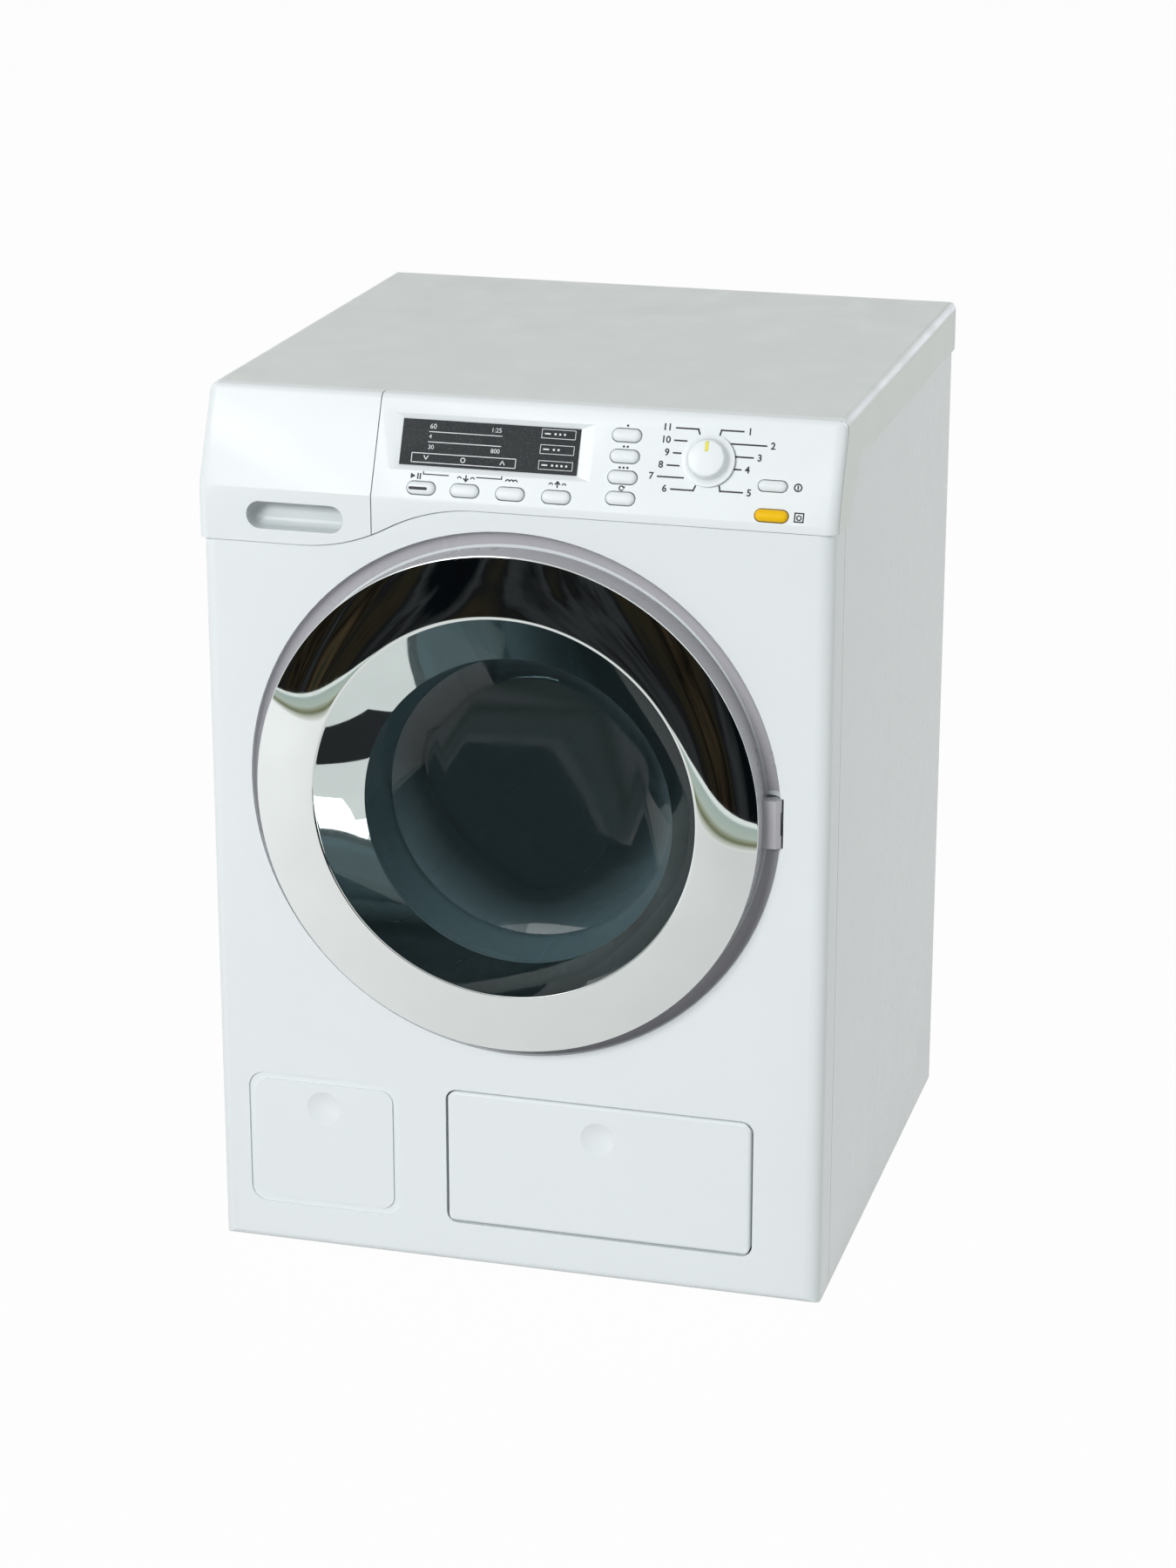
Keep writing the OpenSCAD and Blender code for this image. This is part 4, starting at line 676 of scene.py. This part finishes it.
area_light("key_softbox", KEY_FROM, distance=3.0, width=1.1, height=0.7, power=59.0)
area_light("side_fill", SIDE_FROM, distance=1.6, width=1.0, height=1.0, power=6.0, color=SIDE_TONE)
make_world(WORLD_FILL)
bpy.context.scene.view_settings.view_transform = "Standard"

# ---------------------------------------------------------------- building pieces


def piece(name, verts, faces, mat, body, smooth_faces=True):
    """A mesh piece from points in metres; it rides on a CAD body."""
    mesh = bpy.data.meshes.new(name)
    mesh.from_pydata([tuple(v) for v in verts], [], faces)
    mesh.validate()
    mesh.materials.append(mats[mat])
    mesh.polygons.foreach_set("use_smooth", [smooth_faces] * len(mesh.polygons))
    if smooth_faces:
        mesh.set_sharp_from_angle(angle=SHARP_ANGLE)
    obj = add_object(name, mesh)
    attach(obj, body)
    return obj


def arc_points(radius, first, last, count, x=0.0, s=0.0):
    """Points on a circle from one angle to another in degrees, both ends included."""
    angles = [math.radians(first + (last - first) * i / count) for i in range(count + 1)]
    return [(x + radius * math.cos(a), s + radius * math.sin(a)) for a in angles]


def circle(radius, count, x=0.0, s=0.0):
    """Points round a whole circle."""
    return arc_points(radius, 0, 360, count, x, s)[:-1]


def pill_outline(length, height, inset=0.0):
    """Points round a pill of that length and height, drawn in by inset."""
    end = arc_points(height / 2 - inset, -90, 90, 12, length / 2 - height / 2)
    return [(side * x, side * y) for side in (1, -1) for x, y in end]


def prism(pts, low, high, start):
    """Walls and both caps of an outline between two heights; start numbers its first point."""
    n = len(pts)
    verts = [(x, y, z) for z in (low, high) for x, y in pts]
    low_row = [start + i for i in range(n)]
    high_row = [start + n + i for i in range(n)]
    faces = [tuple(reversed(low_row)), tuple(high_row)]
    for i in range(n):
        j = (i + 1) % n
        faces.append((low_row[i], low_row[j], high_row[j], high_row[i]))
    return verts, faces


class Print:
    """Thin raised ink drawn in x and s (mm) on the sloping face."""

    def __init__(self, level, thick=0.03, weight=1.0):
        self.low = level
        self.high = level + thick
        self.weight = weight
        self.verts = []
        self.faces = []

    def shape(self, pts):
        """A filled outline, turned so that its faces look outwards."""
        area = sum(a[0] * b[1] - b[0] * a[1] for a, b in zip(pts, pts[1:] + pts[:1]))
        if area < 0:
            pts = pts[::-1]
        verts, faces = prism(pts, self.low, self.high, len(self.verts))
        self.verts += verts
        self.faces += faces

    def line(self, a, b, w):
        """A straight stroke that runs half its width past both points."""
        w *= self.weight
        d = Vector((b[0] - a[0], b[1] - a[1])).normalized() * (w / 2)
        ax, ay = a[0] - d.x, a[1] - d.y
        bx, by = b[0] + d.x, b[1] + d.y
        start = [(ax - d.y, ay + d.x), (ax + d.y, ay - d.x)]
        end = [(bx + d.y, by - d.x), (bx - d.y, by + d.x)]
        self.shape(start + end)

    def path(self, pts, w, closed=False):
        for a, b in zip(pts, pts[1:] + (pts[:1] if closed else [])):
            self.line(a, b, w)

    def box(self, x0, s0, x1, s1, w):
        self.path(corners_of((x0, x1), (s0, s1)), w, closed=True)

    def dot(self, x, s, r, count=16):
        self.shape(circle(r, count, x, s))

    def arc(self, x, s, r, a0, a1, w, count=20):
        """Part of a ring, between two angles in degrees."""
        w *= self.weight
        inner = arc_points(r - w / 2, a0, a1, count, x, s)
        outer = arc_points(r + w / 2, a0, a1, count, x, s)
        for i in range(count):
            self.shape([inner[i], outer[i], outer[i + 1], inner[i + 1]])

    def digits(self, words, x, s, size, align="LEFT", bold=0.0):
        """Plain digits."""
        curve = bpy.data.curves.new("digits", "FONT")
        curve.body = words
        curve.size = size
        curve.align_x = align
        curve.align_y = "CENTER"
        curve.extrude = (self.high - self.low) / 2
        curve.offset = bold
        curve.resolution_u = 4
        obj = add_object("digits", curve)
        bpy.context.view_layer.update()
        drawn = obj.evaluated_get(bpy.context.evaluated_depsgraph_get())
        mesh = bpy.data.meshes.new_from_object(drawn)
        start = len(self.verts)
        mid = (self.low + self.high) / 2
        self.verts += [(v.co.x + x, v.co.y + s, v.co.z + mid) for v in mesh.vertices]
        self.faces += [tuple(start + i for i in p.vertices) for p in mesh.polygons]
        bpy.data.objects.remove(obj)
        bpy.data.curves.remove(curve)
        bpy.data.meshes.remove(mesh)

    def make(self, name, mat, body):
        return piece(name, [on_slope(*v) for v in self.verts], self.faces, mat, body, False)


# ---------------------------------------------------------------- chrome ring

# Millimetres: radii of the ring's outer rim, its crest and the funnel's inner end; how
# far the crest stands out, and falls from there to the rim; the funnel end's place in y
RING_OUT = 74.0
CREST = 56.4
FUNNEL_IN = 46.0
RING_PROUD = 10.4
RING_FALL = 2.1
FUNNEL_Y = 4.8
# How much the funnel's slope bulges, as a share of its depth, and the metal's thickness
FUNNEL_BELLY = 0.1
SHEET = 1.2
RING_STEPS = 256
# Where the skin has its rows, as shares of the way from the crest
FACE_ROWS = (0.985, 0.975, 0.95, 0.9, 0.8, 0.7, 0.6, 0.5, 0.4, 0.3, 0.2, 0.1, 0.04)
FUNNEL_ROWS = (0.03, 0.06, 0.12, 0.2, 0.3, 0.4, 0.5, 0.6, 0.7, 0.8, 0.9, 0.97, 1.0)
# The rim's rounding, in from the rim and back; the crest's, out from it, back and down
LIP = ((0.02, 0.5), (0.0, 0.22), (0.03, 0.1), (0.11, 0.0), (0.2, -0.045))
CREST_TURN = ((0.28, 0.005, 0.0), (0.08, 0.04, 0.0), (-0.12, 0.18, 0.01))


def lathe(name, profile, mat, body, gap=0.0, steps=200):
    """Turns a closed profile about the door's axis, open by a gap at the hinge lug.

    A profile point is a radius, a y, and how far its middle has gone from the ring's
    height (0) to the glass's (1).
    """
    verts = []
    rows = steps + 1 if gap else steps
    for i in range(rows):
        a = math.radians(gap + (360 - 2 * gap) * i / steps)
        for r, y, down in profile:
            middle = DOOR_Z + (GLASS_Z - DOOR_Z) * down
            verts.append(place(r * math.cos(a), y, middle + r * math.sin(a)))
    n = len(profile)
    faces = []
    for i in range(steps):
        here = i * n
        there = (i + 1) % rows * n
        for j in range(n):
            k = (j + 1) % n
            faces.append((here + j, there + j, there + k, here + k))
    if gap:
        faces.append(tuple(range(n)))
        faces.append(tuple(reversed(range(steps * n, steps * n + n))))
    return piece(name, verts, faces, mat, body)


def ring_funnel():
    """Profile of the slanting funnel, from the crest to the glass."""
    profile = []
    for share in FUNNEL_ROWS:
        down = share + FUNNEL_BELLY * share * (1 - share)
        radius = CREST + (FUNNEL_IN - CREST) * share
        profile.append((radius, -RING_PROUD + (FUNNEL_Y + RING_PROUD) * down, down))
    return profile


def chrome_ring():
    """Crowned ring and the slanting funnel inside it, in one smooth skin."""
    front = -RING_PROUD
    out_y = front + RING_FALL
    lip = [(RING_OUT - r, out_y + y, 0.0) for r, y in LIP]
    face = [(CREST + (RING_OUT - CREST) * k, front + RING_FALL * k * k, 0.0) for k in FACE_ROWS]
    crest = [(CREST + r, front + y, down) for r, y, down in CREST_TURN]
    back = [
        (FUNNEL_IN + SHEET, FUNNEL_Y, 1.0),
        (FUNNEL_IN + SHEET + 2, FUNNEL_Y - 3.2, 0.8),
        (CREST + 1.2, front + 2.4, 0.12),
        (CREST + 2.2, front + 1.5, 0.0),
        (RING_OUT - 1.2, out_y + 0.6, 0.0),
    ]
    profile = lip + face + crest + ring_funnel() + back
    obj = lathe("chrome_ring", profile, "chrome_trim", "door", steps=RING_STEPS)
    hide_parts("door_ring")


# ---------------------------------------------------------------- round the ring

# Millimetres: the soft recess and its grey skin, painted shade laid over the cove; the grey lip between
# frame and ring
RECESS_IN = 75.0
RECESS_OUT = 78.7
RECESS_DEEP = 3.0
SKIN_THICK = 0.14
SKIN_GAP = 0.1
LUG_GAP = 6.6
LIP_PROFILE = ((72.6, -7.8), (73.8, -7.8), (73.97, -7.7), (73.97, -6.9), (72.6, -6.9))


def frame_lip():
    """Thin grey lip of the door frame, seen round the ring."""
    lathe("frame_lip", [(r, y, 0.0) for r, y in LIP_PROFILE], "frame_grey", "door")


def recess_painted_shade():
    """Grey skin of painted shade in the soft recess round the door, open at the hinge lug."""
    wide = RECESS_OUT - RECESS_IN - SKIN_THICK
    deep = RECESS_DEEP - SKIN_THICK
    front = [(RECESS_IN - 0.5, deep, 0.0)]
    for a in range(90, 10, -8):
        turn = math.radians(a)
        front.append((RECESS_IN + wide * math.cos(turn), deep * math.sin(turn), 0.0))
    back = [(r + SKIN_GAP, y + SKIN_GAP, down) for r, y, down in reversed(front)]
    lathe("recess_painted_shade", front + back, "frame_grey", "casing", gap=LUG_GAP)


chrome_ring()
frame_lip()
# Painted shade: a grey skin in the recess round the door
recess_painted_shade()

# ---------------------------------------------------------------- buttons

# Centre across and up the slope, length and height, in millimetres, for each node
BUTTON = {
    "start_button": (-26, 3.2, 8.2, 3.6), "water_in_button": (-13.3, 3.2, 8.2, 3.6),
    "wash_button": (-0.1, 3.2, 8.2, 3.6), "water_out_button": (13.2, 3.2, 8.2, 3.6),
    "option_button_1": (31.5, 21.8, 8.2, 3.6), "option_button_2": (31.5, 15.9, 8.2, 3.6),
    "option_button_3": (31.5, 10.0, 8.2, 3.6), "spin_button": (31.5, 4.1, 8.2, 3.6),
    "power_button": (73.9, 10.4, 8.0, 3.0), "door_button": (74.4, 2.2, 9.3, 3.4),
}
CAP_PROUD = 1.2
# The cap's edge is rounded over this height, over a wider way across, and its crown
# goes on to the middle from a little below its top
CAP_EDGE = 1.05
EDGE_SPREAD = 1.25
EDGE_RISE = 0.97
EDGE_STEPS = 8
EAR_TOP = -2.35
EAR_BACK = -3.15
EAR_REACH = 1.1
EAR_CLEAR = 0.02
STEM_END = -6.2
STEM_R = 1.1
STEM_INTO = 0.05


def cap_rings(length, height):
    """Outlines of a cap from its back to its top, each with its height."""
    edge = CAP_PROUD - CAP_EDGE
    rings = [(pill_outline(length, height), EAR_BACK), (pill_outline(length, height), edge)]
    for i in range(1, EDGE_STEPS + 1):
        a = math.radians(90 * i / EDGE_STEPS)
        inset = CAP_EDGE * EDGE_SPREAD * (1 - math.cos(a))
        rings.append((pill_outline(length, height, inset), edge + CAP_EDGE * EDGE_RISE * math.sin(a)))
    return rings


def cap_skin(length, height):
    """A softly crowned pill cap, closed at its back."""
    rings = cap_rings(length, height)
    around = len(rings[0][0])
    verts = [(x, y, n) for outline, n in rings for x, y in outline]
    faces = []
    for k in range(len(rings) - 1):
        low = k * around
        high = low + around
        for i in range(around):
            j = (i + 1) % around
            faces.append((low + i, low + j, high + j, high + i))
    faces.append(tuple(reversed(range(around))))
    # Crown: the last ring closes to a ridge along the middle
    top = (len(rings) - 1) * around
    half = length / 2 - height / 2
    ridge = len(verts)
    verts += [(half, 0, CAP_PROUD), (-half, 0, CAP_PROUD)]
    per = around // 2
    for side in (0, 1):
        first = top + side * per
        faces += [(first + i, first + i + 1, ridge + side) for i in range(per - 1)]
    faces.append((top + per - 1, top + per, ridge + 1, ridge))
    faces.append((top + around - 1, top, ridge, ridge + 1))
    return verts, faces


def button_piece(node, x, s, length, height):
    """A push button: crowned pill cap, two ears behind the face and a stem."""
    verts, faces = cap_skin(length, height)
    reach = length / 2 + EAR_REACH
    ears = corners_of((-reach, reach), (-height / 4, height / 4))
    for pts, low, high in (
        (ears, EAR_BACK + EAR_CLEAR, EAR_TOP - EAR_CLEAR),
        (circle(STEM_R, 16), STEM_END, EAR_BACK + STEM_INTO),
    ):
        more_verts, more_faces = prism(pts, low, high, len(verts))
        verts += more_verts
        faces += more_faces
    mat = "yellow_plastic" if node == "door_button" else "white_shell"
    points = [on_slope(x + across, s + up, n) for across, up, n in verts]
    obj = piece(node + "_cap", points, faces, mat, node + "_body")
    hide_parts(node)


def start_bar():
    """Short black bar on the start button."""
    bar = Print(CAP_PROUD - 0.02, 0.06)
    bar.shape([(-26.6 + x, 2.9 + y) for x, y in pill_outline(5.4, 0.85)])
    bar.make("start_bar", "print_black", "start_button_body")


for node, spec in BUTTON.items():
    button_piece(node, *spec)
start_bar()

# ---------------------------------------------------------------- print by the dial

# Ink starts this far over the face, and its strokes are this many times their drawn width
INK_LEVEL = 0.01
INK_WEIGHT = 1.35
DIAL_STROKE = 0.34
DIAL_DIGIT = 2.7
DIAL_BOLD = 0.07
# Strokes from the dial to its numbers, then the numbers; millimetres across and up
POINTERS = (
    [(45.3, 24.8), (51.5, 24.8), (52.0, 23.5)],
    [(45.2, 21.3), (48.5, 21.3)],
    [(45.2, 17.8), (47.2, 17.8)],
    [(43.8, 14.3), (47.0, 14.3)],
    [(41.4, 11.0), (48.6, 11.0)],
    [(45.5, 7.7), (51.8, 7.7), (52.3, 9.0)],
    [(57.7, 23.5), (58.0, 24.9), (64.2, 24.9)],
    [(61.2, 21.3), (71.0, 21.3)],
    [(62.6, 17.8), (67.6, 17.8)],
    [(62.8, 14.3), (64.5, 14.3)],
    [(59.0, 9.3), (59.3, 8.0), (65.6, 8.0)],
)
RIGHT_NUMBERS = (
    ("1", 65.4, 24.9), ("2", 72.2, 21.3), ("3", 68.8, 17.8),
    ("4", 65.7, 14.3), ("5", 66.8, 8.0),
)
LEFT_NUMBERS = (
    ("6", 44.3, 7.7), ("7", 40.2, 11.0), ("8", 42.6, 14.3),
    ("9", 44.0, 17.8), ("10", 44.0, 21.3), ("11", 44.1, 24.8),
)


def dial_numbers():
    """Plain numbers and pointers round the dial."""
    ink = Print(INK_LEVEL, weight=INK_WEIGHT)
    for pts in POINTERS:
        ink.path(pts, DIAL_STROKE)
    for numbers, align in ((RIGHT_NUMBERS, "LEFT"), (LEFT_NUMBERS, "RIGHT")):
        for number, x, s in numbers:
            ink.digits(number, x, s, DIAL_DIGIT, align, DIAL_BOLD)
    ink.make("dial_numbers", "print_black", "casing")


dial_numbers()

# ---------------------------------------------------------------- signs at the buttons

# Stroke widths in millimetres
RULE = 0.25
RIPPLE = 0.26
WAVE = 0.28
ARROW = 0.3
PAUSE = 0.32


def start_sign(ink, x, s):
    """Triangle and two bars."""
    ink.shape([(x - 3.4, s - 0.8), (x - 3.4, s + 0.8), (x - 2.0, s)])
    for bar in (x - 1.3, x - 0.6):
        ink.line((bar, s - 0.65), (bar, s + 0.65), PAUSE)


def step_rules(ink):
    """Thin rules beside the signs over the first buttons."""
    ink.path([(-25.8, 7.8), (-25.8, 7.2), (-18.5, 7.2)], RULE)
    ink.path([(-10.2, 7.2), (-3.0, 7.2), (-3.0, 7.9)], RULE)


def flow_sign(ink, x, s, up):
    """Arrow between two ripples; up is 1 for up and -1 for down."""
    ink.line((x, s - 0.7), (x, s + 0.7), ARROW)
    ink.path([(x - 0.6, s + up * 0.15), (x, s + up * 0.8), (x + 0.6, s + up * 0.15)], ARROW)
    for k in (-1.9, 1.9):
        ink.arc(x + k, s - 0.15, 0.5, 0, 180, RIPPLE, 8)


def wave_sign(ink, x, s):
    """Three ripples."""
    for k in (-1.1, 0.0, 1.1):
        ink.arc(x + k, s - 0.1, 0.55, 0, 180, WAVE, 8)


def dots_sign(ink, x, s, dots):
    """A short row of dots over a button."""
    for k in range(dots):
        ink.dot(x + (k - (dots - 1) / 2) * 1.1, s + 2.75, 0.34)


def turn_sign(ink, x, s):
    """Open ring with an arrow head."""
    ink.arc(x, s + 2.9, 0.62, 40, 330, RIPPLE)
    ink.shape([(x + 0.15, s + 3.3), (x + 1.05, s + 3.45), (x + 0.75, s + 2.6)])


def power_sign(ink, x, s):
    """Ring with an upright stroke."""
    ink.arc(x, s, 1.0, 0, 360, ARROW, 32)
    ink.line((x, s - 0.45), (x, s + 0.45), ARROW)


def door_sign(ink, x, s):
    """Ring in a square."""
    ink.box(x - 1.2, s - 1.1, x + 1.2, s + 1.3, WAVE)
    ink.arc(x, s, 0.62, 0, 360, RIPPLE, 24)


def control_signs():
    """Plain signs beside the buttons."""
    ink = Print(INK_LEVEL, weight=INK_WEIGHT)
    step_rules(ink)
    start_sign(ink, -26.0, 6.55)
    flow_sign(ink, -13.3, 6.75, -1)
    wave_sign(ink, -0.1, 6.75)
    flow_sign(ink, 13.2, 6.75, 1)
    for dots in (1, 2, 3):
        dots_sign(ink, *BUTTON[f"option_button_{dots}"][:2], dots)
    turn_sign(ink, *BUTTON["spin_button"][:2])
    power_sign(ink, 81.0, 10.4)
    door_sign(ink, 82.1, 2.1)
    ink.make("control_signs", "print_black", "casing")


control_signs()

# ---------------------------------------------------------------- display

# Millimetres: the foil lies below the face; stroke widths; ends of the column of
# numbers; then the small boxes, each with its lower and upper side and its dots
FOIL_LEVEL = -0.685
FOIL_INK = 0.02
FOIL_RULE = 0.22
FOIL_MARK = 0.26
FOIL_RING = 0.24
FOIL_BOX = 0.16
FOIL_DASH = 0.4
COLUMN = (-25.6, -4.6)
STEP_BOXES = ((19.7, 22.2, 3), (15.3, 17.8, 2), (10.9, 13.3, 4))


def display_digits(ink):
    """Plain numbers in three rows with a rule under the first two."""
    left, right = COLUMN
    for s in (19.4, 16.5):
        ink.line((left, s), (right + 0.1, s), FOIL_RULE)
    ink.digits("60", left, 20.9, 2.0)
    ink.digits("1:25", right, 20.9, 1.8, "RIGHT")
    ink.digits("4", left, 18.0, 1.7)
    ink.digits("30", left, 15.0, 1.8)
    ink.digits("800", right, 15.0, 1.8, "RIGHT")


def display_bar(ink):
    """Long box with a down mark, a ring and an up mark."""
    ink.box(-30.0, 10.6, 0.3, 13.2, FOIL_RULE)
    ink.path([(-26.4, 12.5), (-25.8, 11.5), (-25.2, 12.5)], FOIL_MARK)
    ink.path([(-4.1, 11.4), (-3.5, 12.4), (-2.9, 11.4)], FOIL_MARK)
    ink.arc(-15.0, 11.9, 0.62, 0, 360, FOIL_RING)


def step_box(ink, low, high, dots):
    """Small box with a stroke and a row of dots."""
    mid = (low + high) / 2
    ink.box(7.0, low, 16.7, high, FOIL_BOX)
    ink.line((8.0, mid), (9.3, mid), FOIL_DASH)
    for k in range(dots):
        ink.dot(10.9 + 1.35 * k, mid, 0.34, 12)


def display_marks():
    """Pale marks on the display foil."""
    ink = Print(FOIL_LEVEL, FOIL_INK)
    display_digits(ink)
    display_bar(ink)
    for low, high, dots in STEP_BOXES:
        step_box(ink, low, high, dots)
    ink.make("display_marks", "print_pale", "casing")


display_marks()
